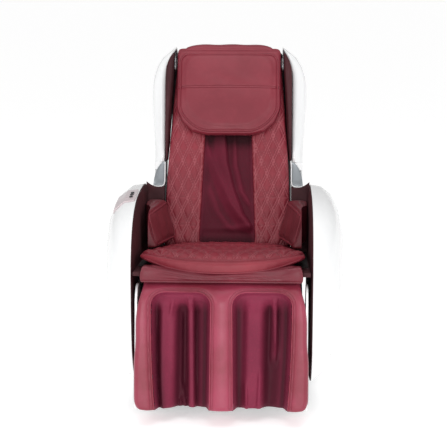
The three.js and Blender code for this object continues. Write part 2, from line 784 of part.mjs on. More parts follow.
// The recline drive lies level under the seat; its rod pulls the lever forwards.
const leverY = backPivotY + leverRadius * Math.sin((leverSwing / 2) * degree);
const leverZ = backPivotZ - leverRadius * Math.cos((leverSwing / 2) * degree);
place(chair, 'recline_actuator', actuatorBody(218, 9), 'steel', 95.25, -103.4, leverZ);
place(chair, 'recline_rod', actuatorRod(8, 150, 7, -leverRadius * 0.0463 - 7, 7, 9), 'brightSteel', 95.25, leverY, leverZ);

// The leg rest drive slopes down to the front; its rod pushes the lugs forwards.
const lugMiddle = lugRest - lugSwing / 2;
const driveTilt = 90 + lugMiddle;
const lugY = legPivotY + lugRadius * Math.cos(lugRest * degree);
const lugZ = legPivotZ + lugRadius * Math.sin(lugRest * degree);
const lugDrop = lugRadius * (1 - Math.cos((lugSwing / 2) * degree));
const legRod = place(chair, 'legrest_rod', actuatorRod(8, 178, 7.4, -lugDrop - 7, 7, 12), 'brightSteel', 0, lugY, lugZ);
legRod.rotation.set(-driveTilt * degree, 0, Math.PI, 'ZYX');
const legBody = place(chair, 'legrest_actuator', actuatorBody(268, 9), 'steel', 0, 0, 0);

const tail = 318;
legBody.position.set(0, lugY + tail * Math.cos(driveTilt * degree), lugZ + tail * Math.sin(driveTilt * degree));
legBody.rotation.set(-driveTilt * degree, 0, Math.PI, 'ZYX');

const bounds = new THREE.Box3().setFromObject(chair, true);
chair.position.y = -(bounds.min.y + bounds.max.y) / 2;
chair.position.z = -bounds.min.z;
chair.updateMatrixWorld(true);

export default chair;
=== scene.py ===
import json
import math

import bmesh
import bpy
import numpy as np
from mathutils import Matrix, Vector
from mathutils.bvhtree import BVHTree


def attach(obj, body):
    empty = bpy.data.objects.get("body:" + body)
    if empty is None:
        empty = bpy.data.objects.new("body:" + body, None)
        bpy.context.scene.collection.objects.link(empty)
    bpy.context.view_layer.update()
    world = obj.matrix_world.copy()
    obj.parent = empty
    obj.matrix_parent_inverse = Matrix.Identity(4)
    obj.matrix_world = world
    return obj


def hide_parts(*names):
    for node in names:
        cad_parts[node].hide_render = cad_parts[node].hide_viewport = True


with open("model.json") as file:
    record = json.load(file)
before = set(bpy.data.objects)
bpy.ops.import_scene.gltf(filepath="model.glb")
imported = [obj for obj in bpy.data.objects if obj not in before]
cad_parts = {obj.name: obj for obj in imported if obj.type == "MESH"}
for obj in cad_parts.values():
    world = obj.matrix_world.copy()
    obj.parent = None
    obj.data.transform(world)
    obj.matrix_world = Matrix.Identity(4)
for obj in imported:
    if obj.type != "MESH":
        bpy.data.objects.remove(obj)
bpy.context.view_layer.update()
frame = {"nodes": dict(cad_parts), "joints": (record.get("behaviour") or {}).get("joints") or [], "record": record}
print("frame loaded:", len(frame["nodes"]), "parts")

# the backrest and the leg rest lean on their hinges, so their pieces are shaped upright and then put in place
leans = {"back": -22.3, "leg": -9}
hinges = {joint["name"]: joint for joint in frame["joints"]}
backPivot = Vector(hinges["recline"]["pos_m"])
legPivot = Vector(hinges["legrest_lift"]["pos_m"])
backPlace = Matrix.Translation(backPivot) @ Matrix.Rotation(math.radians(leans["back"]), 4, "X")
legPlace = Matrix.Translation(legPivot) @ Matrix.Rotation(math.radians(leans["leg"]), 4, "X")
backPivotAhead = 0.190  # of the base's own origin
basePlace = Matrix.Translation((0, backPivot.y - backPivotAhead, 0))
sides = {"left": -1, "right": 1}
weldReach = 0.00002


view = {
    "aim": (0, basePlace.translation.y, 0.537), "turn": 2, "rise": 12, "away": 4.4,
    "lens": 111.06, "shift": -0.00425,
}


def aimAt(item, target):
    item.rotation_euler = (Vector(target) - item.location).to_track_quat("-Z", "Y").to_euler()


def addCamera(look):
    turn, rise = math.radians(look["turn"]), math.radians(look["rise"])
    way = Vector((math.sin(turn) * math.cos(rise), -math.cos(turn) * math.cos(rise), math.sin(rise)))
    bpy.ops.object.camera_add(location=Vector(look["aim"]) + way * look["away"])
    camera = bpy.context.object
    aimAt(camera, look["aim"])
    camera.data.lens = look["lens"]
    camera.data.shift_x = look["shift"]
    bpy.context.scene.camera = camera


lamps = {
    "top": {"place": (0.1, -0.9, 3.2), "size": 1.8, "power": 20},
    "left": {"place": (-2.4, -3.0, 2.2), "size": 1.1, "power": 24},
    "right": {"place": (2.6, -3.0, 1.9), "size": 1.1, "power": 20},
    "front": {"place": (0.1, -4.8, 1.0), "size": 0.9, "power": 40},
}


def addLamps(looks):
    for name, look in looks.items():
        bpy.ops.object.light_add(type="AREA", location=look["place"])
        lamp = bpy.context.object
        lamp.name = "lamp_" + name
        lamp.data.size = look["size"]
        lamp.data.energy = look["power"]
        aimAt(lamp, (0, 0, 0.55))


addCamera(view)
addLamps(lamps)
scene = bpy.context.scene
scene.view_settings.view_transform = "Standard"
studio = bpy.data.worlds.new("studio")
studio.use_nodes = True
skyInputs = studio.node_tree.nodes["Background"].inputs
skyInputs["Color"].default_value = (1, 1, 1, 1)
skyInputs["Strength"].default_value = 0.60
scene.world = studio
print("camera and lamps placed")


def pickUp(piece):
    for other in list(bpy.context.selected_objects):
        other.select_set(False)
    bpy.context.view_layer.objects.active = piece
    if piece is not None:
        piece.select_set(True)


def pointsOf(piece):
    values = np.zeros(len(piece.data.vertices) * 3)
    piece.data.vertices.foreach_get("co", values)
    return values.reshape(-1, 3)


def normalsOf(piece):
    values = np.zeros(len(piece.data.vertices) * 3)
    piece.data.vertices.foreach_get("normal", values)
    return values.reshape(-1, 3)


def setPoints(piece, values):
    piece.data.vertices.foreach_set("co", np.ascontiguousarray(values, dtype=np.float64).ravel())
    piece.data.update()


def useModifier(piece, kind, **settings):
    pickUp(piece)
    modifier = piece.modifiers.new(kind.lower(), kind)
    for key, value in settings.items():
        setattr(modifier, key, value)
    bpy.ops.object.modifier_apply(modifier=modifier.name)


def newPiece(name, points, faces):
    mesh = bpy.data.meshes.new(name)
    mesh.from_pydata([tuple(point) for point in points], [], faces)
    mesh.update()
    piece = bpy.data.objects.new(name, mesh)
    scene.collection.objects.link(piece)
    return piece


def fixNormals(piece):
    shape = bmesh.new()
    shape.from_mesh(piece.data)
    bmesh.ops.remove_doubles(shape, verts=shape.verts, dist=weldReach)
    bmesh.ops.recalc_face_normals(shape, faces=shape.faces)
    shape.to_mesh(piece.data)
    shape.free()


def copyNodes(name, place, *nodes):
    shape = bmesh.new()
    for node in nodes:
        shape.from_mesh(frame["nodes"][node].data)
    bmesh.ops.remove_doubles(shape, verts=shape.verts, dist=weldReach)
    shape.transform(place.inverted())
    mesh = bpy.data.meshes.new(name)
    shape.to_mesh(mesh)
    shape.free()
    piece = bpy.data.objects.new(name, mesh)
    scene.collection.objects.link(piece)
    return piece


def smoothStep(values, low, high):
    share = np.clip((np.asarray(values, dtype=float) - low) / (high - low), 0, 1)
    return share * share * (3 - 2 * share)


def bothSides(make, look):
    for side, turn in sides.items():
        make(side, turn, look)


def ease(value, low, high):
    return float(smoothStep(value, low, high))


def hump(values, middle, wide):
    return np.exp(-(((np.asarray(values, dtype=float) - middle) / wide) ** 2))


def plump(piece, look):
    # an even remesh, then air pressure inside; each point moves only along its normal, and only a short way
    pickUp(piece)
    piece.data.remesh_voxel_size = look["voxel"]
    bpy.ops.object.voxel_remesh()
    useModifier(piece, "SMOOTH", factor=0.5, iterations=look["soften"])
    rest = pointsOf(piece) - normalsOf(piece) * look["inset"]
    setPoints(piece, rest)
    ways = normalsOf(piece)
    push = np.full(len(rest), look["cap"] * 0.8)
    cloth = piece.modifiers.new("air", "CLOTH")
    cloth.settings.quality = 4
    cloth.settings.mass = 0.3
    cloth.settings.tension_stiffness = 12
    cloth.settings.compression_stiffness = 12
    cloth.settings.bending_stiffness = 0.5
    cloth.settings.use_pressure = True
    cloth.settings.uniform_pressure_force = 4
    cloth.settings.effector_weights.gravity = 0
    for moment in range(1, 21):
        scene.frame_set(moment)
    bpy.ops.object.modifier_apply(modifier="air")
    swell = ((pointsOf(piece) - rest) * ways).sum(axis=1)
    scene.frame_set(1)
    push = np.clip(push + swell - swell.mean(), look["cap"] * 0.5, look["cap"])
    setPoints(piece, rest + ways * push[:, None])
    useModifier(piece, "SMOOTH", factor=0.5, iterations=3)
    useModifier(piece, "SUBSURF", levels=1, render_levels=1)
    print("plumped", piece.name, len(piece.data.polygons))


# a per-point mark that the finishes read: on leather it marks the seams and stitched grooves, whose grooves get
# painted shade and whose lines get thread colour; on cloth it is painted shade alone, in creases, hollows, on
# walls and under parts
def markSeamsAndShade(piece, closeness):
    mark = piece.data.attributes.new("seamAndShadeMark", "FLOAT", "POINT")
    mark.data.foreach_set("value", np.clip(closeness, 0, 1).astype(np.float32))


def pathGap(points, path, ring=False):
    # the distance from each point to a broken line, both as pairs
    path = np.asarray(path, dtype=float)
    following = np.roll(path, -1, axis=0) if ring else path[1:]
    starts = path if ring else path[:-1]
    best = np.full(len(points), 9.0)
    for start, end in zip(starts, following):
        run = end - start
        share = np.clip(((points - start) @ run) / max(run @ run, 1e-12), 0, 1)
        best = np.minimum(best, np.linalg.norm(points - start - share[:, None] * run, axis=1))
    return best


def roundedPath(corners, steps=10):
    # a closed line round the corners [across, up, radius]
    path = []
    count = len(corners)
    for index, (across, up, radius) in enumerate(corners):
        here = Vector((across, up))
        before = (Vector(corners[index - 1][:2]) - here).normalized()
        after = (Vector(corners[(index + 1) % count][:2]) - here).normalized()
        half = before.angle(after) / 2
        reach = radius / math.tan(half)
        middle = here + (before + after).normalized() * radius / math.sin(half)
        first, last = here + before * reach - middle, here + after * reach - middle
        sweep = first.angle_signed(last)
        for step in range(steps + 1):
            spot = first.copy()
            spot.rotate(Matrix.Rotation(-sweep * step / steps, 2))
            path.append(tuple(middle + spot))
    return path


def pipe(name, line, radius, ring=False, faceCount=8):
    # a cord of round section along a line, its ends closed
    line = [Vector(point) for point in line]
    points, faces = [], []
    count = len(line)
    side = None
    for index, here in enumerate(line):
        before = line[index - 1] if ring or index else here
        after = line[(index + 1) % count] if ring or index < count - 1 else here
        ahead = (after - before).normalized()
        if side is None:
            side = ahead.orthogonal().normalized()
        side = (side - ahead * side.dot(ahead)).normalized()
        other = ahead.cross(side)
        for turn in range(faceCount):
            angle = 2 * math.pi * turn / faceCount
            points.append(here + (side * math.cos(angle) + other * math.sin(angle)) * radius)
    for index in range(count if ring else count - 1):
        start, end = index * faceCount, ((index + 1) % count) * faceCount
        for turn in range(faceCount):
            later = (turn + 1) % faceCount
            faces.append((start + turn, start + later, end + later, end + turn))
    if not ring:
        faces.append(tuple(reversed(range(faceCount))))
        faces.append(tuple(range((count - 1) * faceCount, count * faceCount)))
    return newPiece(name, points, faces)


def layOn(piece, line, way, lift):
    # the line moved along a direction until it meets the piece, then lifted a little off it
    mesh = piece.data
    tree = BVHTree.FromPolygons([v.co for v in mesh.vertices], [p.vertices for p in mesh.polygons])
    way = Vector(way)
    found = []
    for point in line:
        spot = tree.ray_cast(Vector(point) - way * 0.3, way)[0]
        if spot is not None:
            found.append(spot - way * lift)
    return found


def finishPiece(piece, body, slotName, place=None, stands=(), angle=None, finish=None):
    # the slot's own finish unless another is given, then its body; the nodes it stands for are hidden
    if place is not None:
        piece.data.transform(place)
    piece.data.materials.clear()
    piece.data.materials.append(finish or finishes[slotName])
    pickUp(piece)
    if angle:
        bpy.ops.object.shade_smooth_by_angle(angle=math.radians(angle))
    else:
        bpy.ops.object.shade_smooth()
    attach(piece, body)
    if stands:
        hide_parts(*stands)


def setInputs(node, inputs, tree=None):
    # sockets are linked in, all else is set as it is
    for key, value in inputs.items():
        if isinstance(value, bpy.types.NodeSocket):
            tree.links.new(value, node.inputs[key])
        else:
            node.inputs[key].default_value = value


def addNode(tree, kind, inputs=None, **settings):
    node = tree.nodes.new(kind)
    for key, value in settings.items():
        setattr(node, key, value)
    setInputs(node, inputs or {}, tree)
    return node


def sums(tree, operation, first, second=0.0, third=0.0):
    return addNode(tree, "ShaderNodeMath", {0: first, 1: second, 2: third}, operation=operation).outputs[0]


def between(tree, value, low, high, toLow, toHigh):
    inputs = {"Value": value, "From Min": low, "From Max": high, "To Min": toLow, "To Max": toHigh}
    return addNode(tree, "ShaderNodeMapRange", inputs).outputs["Result"]


def tint(tree, share, first, second):
    # one colour turned into another by a share; sockets or plain colours
    node = addNode(tree, "ShaderNodeMix", data_type="RGBA")
    for socket, value in ((0, share), (6, first), (7, second)):
        if isinstance(value, bpy.types.NodeSocket):
            tree.links.new(value, node.inputs[socket])
        else:
            node.inputs[socket].default_value = value if socket == 0 else (*value, 1)
    return node.outputs[2]


def startFinish(name, metal=0.0):
    material = bpy.data.materials.new(name)
    material.use_nodes = True
    tree = material.node_tree
    surface = tree.nodes["Principled BSDF"]
    surface.inputs["Metallic"].default_value = metal
    spot = tree.nodes.new("ShaderNodeTexCoord").outputs["Object"]
    return material, tree, surface, spot


def cloud(tree, spot, scale, detail=3.0, rough=0.5):
    inputs = {"Vector": spot, "Scale": scale, "Detail": detail, "Roughness": rough}
    return addNode(tree, "ShaderNodeTexNoise", inputs).outputs[0]


def wave(tree, spot, scale, distortion, detail, way):
    inputs = {"Vector": spot, "Scale": scale, "Distortion": distortion, "Detail": detail}
    return addNode(tree, "ShaderNodeTexWave", inputs, bands_direction=way).outputs["Fac"]


def bumped(tree, height, strength, distance, under=None):
    inputs = {"Height": height, "Strength": strength, "Distance": distance}
    if under is not None:
        inputs["Normal"] = under
    return addNode(tree, "ShaderNodeBump", inputs).outputs[0]


def leatherFinish(name, base, deep, thread, rough, coat=0.06):
    material, tree, surface, spot = startFinish(name)
    broad = cloud(tree, spot, 7, 4)
    blotch = cloud(tree, spot, 42, 3)
    seamAndShade = addNode(tree, "ShaderNodeAttribute", attribute_name="seamAndShadeMark").outputs["Fac"]
    cells = addNode(tree, "ShaderNodeTexVoronoi", {"Vector": spot, "Scale": 620.0}).outputs["Distance"]
    creases = cloud(tree, spot, 95, 5, 0.62)
    colour = tint(tree, between(tree, broad, 0.35, 0.68, 0, 1), deep, base)
    paler = tuple(min(1, value * 1.22 + 0.01) for value in base)
    colour = tint(tree, between(tree, blotch, 0.5, 0.8, 0, 0.22), colour, paler)
    # painted shade: a darker band beside each seam, where its groove lies in shade; the thread colour right on the
    # seam line is the stitching's own
    colour = tint(tree, between(tree, seamAndShade, 0.25, 0.6, 0, 0.22), colour, tuple(value * 0.6 for value in deep))
    colour = tint(tree, between(tree, seamAndShade, 0.70, 0.80, 0, 0.6), colour, thread)
    colour = tint(tree, between(tree, cells, 0.0, 0.5, 0.18, 0), colour, deep)
    tree.links.new(colour, surface.inputs["Base Color"])
    even = between(tree, broad, 0.3, 0.7, rough + 0.05, rough - 0.05)
    patches = between(tree, blotch, 0.4, 0.8, 0.0, 0.06)
    tree.links.new(sums(tree, "ADD", even, patches), surface.inputs["Roughness"])
    setInputs(surface, {"Coat Weight": coat, "Coat Roughness": 0.35, "Specular IOR Level": 0.36})
    normal = bumped(tree, creases, 0.35, 0.0012)
    normal = bumped(tree, cells, 0.3, 0.0005, normal)
    groove = sums(tree, "MULTIPLY", seamAndShade, -1.0)
    normal = bumped(tree, groove, 0.6, 0.0016, normal)
    tree.links.new(normal, surface.inputs["Normal"])
    return material


def clothFinish(name, base, deep, rough, sheen, threads=210.0):
    material, tree, surface, spot = startFinish(name)
    broad = cloud(tree, spot, 9, 4)
    warp = wave(tree, spot, threads, 0.6, 1.0, "X")
    weft = wave(tree, spot, threads, 0.6, 1.0, "Z")
    weave = sums(tree, "MAXIMUM", warp, weft)
    fuzz = cloud(tree, spot, 160, 3)
    seamAndShade = addNode(tree, "ShaderNodeAttribute", attribute_name="seamAndShadeMark").outputs["Fac"]
    colour = tint(tree, between(tree, broad, 0.32, 0.7, 0, 1), deep, base)
    darker, paintedShadeTone = tuple(value * 0.6 for value in deep), tuple(value * 0.14 for value in deep)
    colour = tint(tree, between(tree, weave, 0.3, 1.0, 0.35, 0), colour, darker)
    paler = tuple(min(1, value * 1.35) for value in base)
    colour = tint(tree, between(tree, fuzz, 0.5, 0.8, 0, 0.3), colour, paler)
    # painted shade: the mark darkens the cloth towards near black in its creases, hollows and under the pillow
    colour = tint(tree, between(tree, seamAndShade, 0.0, 1.0, 0, 0.9), colour, paintedShadeTone)
    tree.links.new(colour, surface.inputs["Base Color"])
    tree.links.new(between(tree, fuzz, 0.3, 0.7, rough - 0.06, rough + 0.08), surface.inputs["Roughness"])
    glow = (min(1, base[0] * 2.2), base[1] * 2.2, base[2] * 2.2, 1)
    setInputs(surface, {"Specular IOR Level": 0.2, "Sheen Weight": sheen, "Sheen Roughness": 0.45})
    setInputs(surface, {"Sheen Tint": glow})
    normal = bumped(tree, fuzz, 0.25, 0.0012)
    normal = bumped(tree, weave, 0.3, 0.0004, normal)
    tree.links.new(normal, surface.inputs["Normal"])
    return material


def mouldedFinish(name, base, rough, metal, coat, grain=260.0, depth=0.00012, vary=0.06, stretch=(1, 1, 1)):
    material, tree, surface, spot = startFinish(name, metal)
    spot = addNode(tree, "ShaderNodeMapping", {"Vector": spot, "Scale": stretch}).outputs[0]
    broad = cloud(tree, spot, 4, 3)
    scuffs = cloud(tree, spot, 55, 6, 0.7)
    fine = cloud(tree, spot, grain, 2)
    darker, worn = tuple(value * (1 - vary) for value in base), tuple(value * 0.72 for value in base)
    colour = tint(tree, between(tree, broad, 0.3, 0.7, 0, 1), darker, base)
    colour = tint(tree, between(tree, scuffs, 0.6, 0.8, 0, 0.18), colour, worn)
    tree.links.new(colour, surface.inputs["Base Color"])
    even = between(tree, fine, 0.3, 0.7, rough - 0.03, rough + 0.03)
    rubbed = between(tree, scuffs, 0.55, 0.8, 0, 0.12)
    tree.links.new(sums(tree, "ADD", even, rubbed), surface.inputs["Roughness"])
    setInputs(surface, {"Coat Weight": coat, "Coat Roughness": 0.08})
    tree.links.new(bumped(tree, fine, 0.3, depth), surface.inputs["Normal"])
    return material


def plyFinish(name, base, deep):
    material, tree, surface, spot = startFinish(name)
    spot = addNode(tree, "ShaderNodeMapping", {"Vector": spot, "Scale": (1, 9, 9)}).outputs[0]
    rings = wave(tree, spot, 3.0, 5.0, 3.0, "Y")
    pores = cloud(tree, spot, 120, 3)
    colour = tint(tree, rings, deep, base)
    colour = tint(tree, between(tree, pores, 0.55, 0.75, 0, 0.4), colour, tuple(value * 0.6 for value in deep))
    tree.links.new(colour, surface.inputs["Base Color"])
    tree.links.new(between(tree, pores, 0.3, 0.7, 0.5, 0.72), surface.inputs["Roughness"])
    tree.links.new(bumped(tree, pores, 0.3, 0.0003), surface.inputs["Normal"])
    return material


threadPink, quiltThread, dullThread = (0.36, 0.075, 0.10), (0.38, 0.085, 0.105), (0.10, 0.02, 0.03)
finishes = {
    "leather": leatherFinish("softLeather", (0.235, 0.026, 0.042), (0.190, 0.019, 0.032), threadPink, 0.42),
    "quilt": leatherFinish("quiltLeather", (0.270, 0.026, 0.042), (0.210, 0.019, 0.032), quiltThread, 0.46),
    "curtain": clothFinish("plumCurtain", (0.165, 0.013, 0.034), (0.122, 0.009, 0.025), 0.7, 0.08),
    "dark_liner": leatherFinish(
        "darkLining", (0.055, 0.006, 0.010), (0.036, 0.004, 0.007), dullThread, 0.66, 0.0),
    "white_shell": mouldedFinish("whiteGloss", (0.88, 0.885, 0.89), 0.2, 0, 0.35, vary=0.02),
    "silver_trim": mouldedFinish(
        "satinSilver", (0.27, 0.29, 0.31), 0.32, 0.6, 0.2,
        grain=500.0, stretch=(1, 1, 0.15)),
    "speaker_grille": mouldedFinish("speakerMesh", (0.035, 0.035, 0.04), 0.4, 0.4, 0),
    "panel": mouldedFinish("rosePanel", (0.60, 0.50, 0.52), 0.24, 0.1, 0.4),
    "black_plastic": mouldedFinish(
        "blackPlastic", (0.028, 0.028, 0.031), 0.5, 0, 0,
        grain=900.0, depth=0.0003, vary=0.2),
    "steel_frame": mouldedFinish(
        "powderSteel", (0.045, 0.045, 0.05), 0.48, 0.2, 0,
        grain=700.0, depth=0.0002, vary=0.2),
    "bright_steel": mouldedFinish(
        "groundSteel", (0.56, 0.57, 0.58), 0.26, 1.0, 0,
        grain=300.0, stretch=(0.1, 1, 1)),
    "rubber": mouldedFinish(
        "footRubber", (0.026, 0.026, 0.027), 0.72, 0, 0,
        grain=420.0, depth=0.0004, vary=0.25),
    "board": plyFinish("seatPly", (0.045, 0.040, 0.040), (0.028, 0.025, 0.025)),
    "roller": mouldedFinish("rollerCream", (0.66, 0.60, 0.48), 0.42, 0, 0.1, grain=300.0, vary=0.1),
}
legThread = (0.50, 0.13, 0.18)
# a lighter, pinker copy of the leather for the leg rest: partly its own pinker tone, partly a painted highlight
# for the floor's reflection on the bolsters
litPinkLegLeather = leatherFinish("litPinkLegLeather", (0.355, 0.045, 0.090), (0.235, 0.024, 0.045), legThread, 0.36, 0.2)
# a darker copy of the leather for the hip pads: painted shade, as they sit in shadow beside the arms
shadedHipLeather = leatherFinish("shadedHipLeather", (0.180, 0.021, 0.032), (0.125, 0.015, 0.023), threadPink, 0.46)
# a darker copy of the leather for the apron: painted shade under the seat's overhang
shadedApronLeather = leatherFinish("shadedApronLeather", (0.185, 0.019, 0.034), (0.135, 0.013, 0.024), threadPink, 0.38)
calfCloth = clothFinish("calfCloth", (0.265, 0.030, 0.070), (0.205, 0.022, 0.054), 0.6, 0.15)
slotOf = {part["node"]: part["material_slot"] for part in frame["record"]["subparts"]}
for node, shown in frame["nodes"].items():
    shown.data.materials.clear()
    shown.data.materials.append(finishes[slotOf[node]])
print("finishes made:", len(finishes))

# the head pillow, with a flap over the top of the backrest
pillow = {
    "voxel": 0.005, "soften": 3, "inset": 0.003, "cap": 0.008,
    "top": 0.7275, "seam": 0.589, "crown": 0.010, "weltRadius": 0.0027,
}


def makePillow(look):
    piece = copyNodes("headPillow", backPlace, "head_pillow")
    pickUp(piece)
    bpy.ops.object.mode_set(mode="EDIT")
    bpy.ops.mesh.select_all(action="SELECT")
    bpy.ops.mesh.bisect(plane_co=(0, 0, look["top"]), plane_no=(0, 0, 1), use_fill=True, clear_outer=True)
    bpy.ops.object.mode_set(mode="OBJECT")
    plump(piece, look)
    spots, faces = pointsOf(piece), normalsOf(piece)
    front = smoothStep(-faces[:, 1], 0.2, 0.8)
    across, up = spots[:, 0], spots[:, 2]
    dome = np.clip(1 - (across / 0.174) ** 2, 0, 1) * np.clip(1 - ((up - 0.578) / 0.155) ** 2, 0, 1)
    ruffle = 0.0009 * np.sin(across * 46 + up * 70) * hump(up, look["seam"] + 0.02, 0.03) * dome
    lower = hump(up, look["seam"] - 0.045, 0.03) * 0.002
    spots[:, 1] -= front * (look["crown"] * dome + lower + ruffle)
    spots[:, 1] += front * 0.0045 * hump(up, look["seam"], 0.0036)
    edge = [(-0.163, 0.440, 0.094), (0.163, 0.440, 0.094), (0.163, 0.705, 0.03), (-0.163, 0.705, 0.03)]
    welt = [(x * (1 - 0.07 * ease(-z, -0.52, -0.44)), z) for x, z in roundedPath(edge, 14)]
    spots[:, 0] *= 1 - 0.09 * smoothStep(-up, -0.525, -0.435)
    weltGap = pathGap(spots[:, [0, 2]], welt, True)
    spots[:, 1] += front * 0.0026 * np.exp(-(weltGap / 0.0045) ** 2)
    spots[:, 1] += front * 0.006 * smoothStep(up, 0.708, 0.728)
    setPoints(piece, spots)
    seamGap = np.abs(up - look["seam"])
    markSeamsAndShade(piece, front * np.maximum(1 - seamGap / 0.005, 0.6 - weltGap / 0.008))
    line = layOn(piece, [(x, -0.2, z) for x, z in welt], (0, 1, 0), 0.0006)
    finishPiece(pipe("pillowWelt", line, look["weltRadius"], True), "backrest", "leather", backPlace)
    finishPiece(piece, "backrest", "leather", backPlace, ["head_pillow"])


# the flap's line over the backrest, seen from the side, and how its half-width narrows along it
flap = {
    "bend": [
        (-0.097, 0.714), (-0.1015, 0.722), (-0.102, 0.731), (-0.097, 0.7395), (-0.086, 0.7455), (-0.07, 0.7485),
        (-0.045, 0.7500), (-0.015, 0.7510), (0.015, 0.7505), (0.045, 0.7495), (0.072, 0.7470), (0.092, 0.7400),
    ],
    "half": 0.161, "narrows": 0.046, "columns": 48,
}


def gridFaces(rows, columns):
    # four-sided faces between rows of points, each row one longer than its columns
    wide = columns + 1
    return [(r * wide + c, r * wide + c + 1, (r + 1) * wide + c + 1, (r + 1) * wide + c)
            for r in range(rows) for c in range(columns)]


def makeFlap(look):
    bend, columns = look["bend"], look["columns"]
    rows = len(bend)
    points = []
    for row, (y, z) in enumerate(bend):
        half = look["half"] - look["narrows"] * (row / (rows - 1)) ** 0.9
        for column in range(columns + 1):
            share = 2 * column / columns - 1
            drop = 0.010 * abs(share) ** 7 + 0.0012 * math.sin(share * 9 + row) * (1 - share * share)
            points.append((share * half, y + drop * 0.3, z - drop))
    piece = newPiece("pillowFlap", points, gridFaces(rows - 1, columns))
    useModifier(piece, "SOLIDIFY", thickness=0.004, offset=-1)
    useModifier(piece, "SUBSURF", levels=2, render_levels=2)
    spots = pointsOf(piece)
    half = 0.151 - look["narrows"] * np.clip((spots[:, 1] + 0.1) / 0.19, 0, 1)
    rim = np.abs(np.abs(spots[:, 0]) - half)
    markSeamsAndShade(piece, 1 - rim / 0.006)
    finishPiece(piece, "backrest", "leather", backPlace)


makePillow(pillow)
makeFlap(flap)

# the quilted back cushion, with a slot down its middle for the rollers
backPad = {
    "voxel": 0.006, "soften": 2, "inset": 0.004, "cap": 0.007,
    "slot": 0.091, "wide": 0.038, "tall": 0.086,
}


def quiltGap(across, up, wide, tall, pair=0.0038):
    # the distance to the nearest line of a double-stitched diamond pattern
    scale = 1 / math.sqrt(1 / wide ** 2 + 1 / tall ** 2)
    best = np.full(len(across), 1.0)
    for way in (1, -1):
        turn = across / wide + way * up / tall
        best = np.minimum(best, np.abs(np.abs(turn - np.round(turn)) * scale - pair))
    return best


def slotHalf(up):
    return 0.0905 - 0.0165 * np.clip((np.asarray(up) - 0.09) / 0.42, 0, 1)


def makeBackPad(look):
    piece = copyNodes("backPad", backPlace, "back_cushion")
    plump(piece, look)
    spots, faces = pointsOf(piece), normalsOf(piece)
    across, up = spots[:, 0].copy(), spots[:, 2].copy()
    reach = (1 - smoothStep(np.abs(across), 0.088, 0.165)) * smoothStep(-spots[:, 1], 0.050, 0.064)
    spots[:, 0] -= np.sign(across) * (look["slot"] - slotHalf(up)) * reach
    front = smoothStep(-faces[:, 1], 0.25, 0.8)
    lines = quiltGap(np.abs(spots[:, 0]) - 0.15, up, look["wide"], look["tall"])
    for level in (0.374, 0.219, 0.125):
        lines = np.minimum(lines, 0.0016 + np.abs(up - level - 0.05 * (np.abs(across) - 0.15)))
    hem = np.abs(np.abs(spots[:, 0]) - slotHalf(up) - 0.010)
    lines = np.minimum(lines, hem)
    puff = 1 - np.exp(-lines / 0.004)
    spots[:, 1] -= front * (0.0034 * puff - 0.001)
    spots[:, 1] -= front * 0.0012 * np.sin(up * 70 + across * 31) * np.sin(across * 60 - up * 23)
    roll = hump(np.abs(across), 0.150, 0.05) * 0.004
    spots[:, 1] -= front * roll
    setPoints(piece, spots)
    markSeamsAndShade(piece, front * (1 - lines / 0.0052))
    finishPiece(piece, "backrest", "quilt", backPlace, ["back_cushion"])


makeBackPad(backPad)

# the loose cloth curtain over the rollers
curtain = {"low": 0.058, "high": 0.668, "rows": 170, "columns": 84, "depth": -0.0635}
curtainFolds = [  # line down the cloth as (across, up), height, spread to its left, spread to its right
    ([(-0.014, 0.43), (-0.006, 0.34), (0.016, 0.25), (0.048, 0.165), (0.100, 0.095)], 0.0190, 0.036, 0.0065),
    ([(-0.075, 0.40), (-0.035, 0.30), (0.010, 0.20), (0.070, 0.12)], 0.0090, 0.024, 0.010),
    ([(0.022, 0.43), (0.026, 0.33), (0.048, 0.24), (0.085, 0.18)], 0.0075, 0.014, 0.008),
    ([(-0.060, 0.25), (-0.030, 0.17), (0.020, 0.105)], 0.0050, 0.018, 0.009),
]


def lopsided(beside, below, above):
    # a ridge with one spread on each side of its line
    return np.where(beside < 0, np.exp(-(beside / below) ** 2), np.exp(-(beside / above) ** 2))


def makeCurtain(look, folds):
    points = []
    for row in range(look["rows"] + 1):
        up = look["low"] + (look["high"] - look["low"]) * row / look["rows"]
        half = float(slotHalf(up)) + 0.001
        for column in range(look["columns"] + 1):
            points.append(((2 * column / look["columns"] - 1) * half, look["depth"], up))
    spots = np.array(points)
    across, up = spots[:, 0], spots[:, 2]
    calm = 1 - smoothStep(np.abs(across) / slotHalf(up), 0.82, 1.0)
    lift = np.zeros(len(spots))
    for line, height, left, right in folds:
        line = np.array(line)
        middle = np.interp(up, line[::-1, 1], line[::-1, 0])
        beside = across - middle
        foot, head = line[-1, 1], line[0, 1]
        ends = smoothStep(up, foot - 0.02, foot + 0.03) * (1 - smoothStep(up, head - 0.02, head + 0.06))
        lift += height * ends * lopsided(beside, left, right)
    foldAbove, foldBelow = hump(up, 0.118, 0.010), hump(up, 0.100, 0.010)
    lift += 0.005 * foldAbove * (0.6 + 0.4 * np.sin(across * 22)) - 0.003 * foldBelow
    lift -= 0.004 * np.clip(1 - (across / 0.09) ** 2, 0, 1) * smoothStep(up, 0.3, 0.42)
    spots[:, 1] -= (lift - 0.004) * calm
    piece = newPiece("rollerCurtain", spots, gridFaces(look["rows"], look["columns"]))
    useModifier(piece, "SOLIDIFY", thickness=0.0016, offset=-1)
    spots = pointsOf(piece)
    # painted shade on the curtain: darker under the pillow, towards its lower end, and where the cloth lies
    # deepest
    shade = smoothStep(spots[:, 2], 0.375, 0.43) * 0.75 + 0.45 * (1 - smoothStep(spots[:, 2], 0.06, 0.105))
    markSeamsAndShade(piece, shade + 0.45 * smoothStep(spots[:, 1], look["depth"] - 0.003, look["depth"] + 0.003))
    finishPiece(piece, "backrest", "curtain", backPlace, ["back_curtain"])


makeCurtain(curtain, curtainFolds)

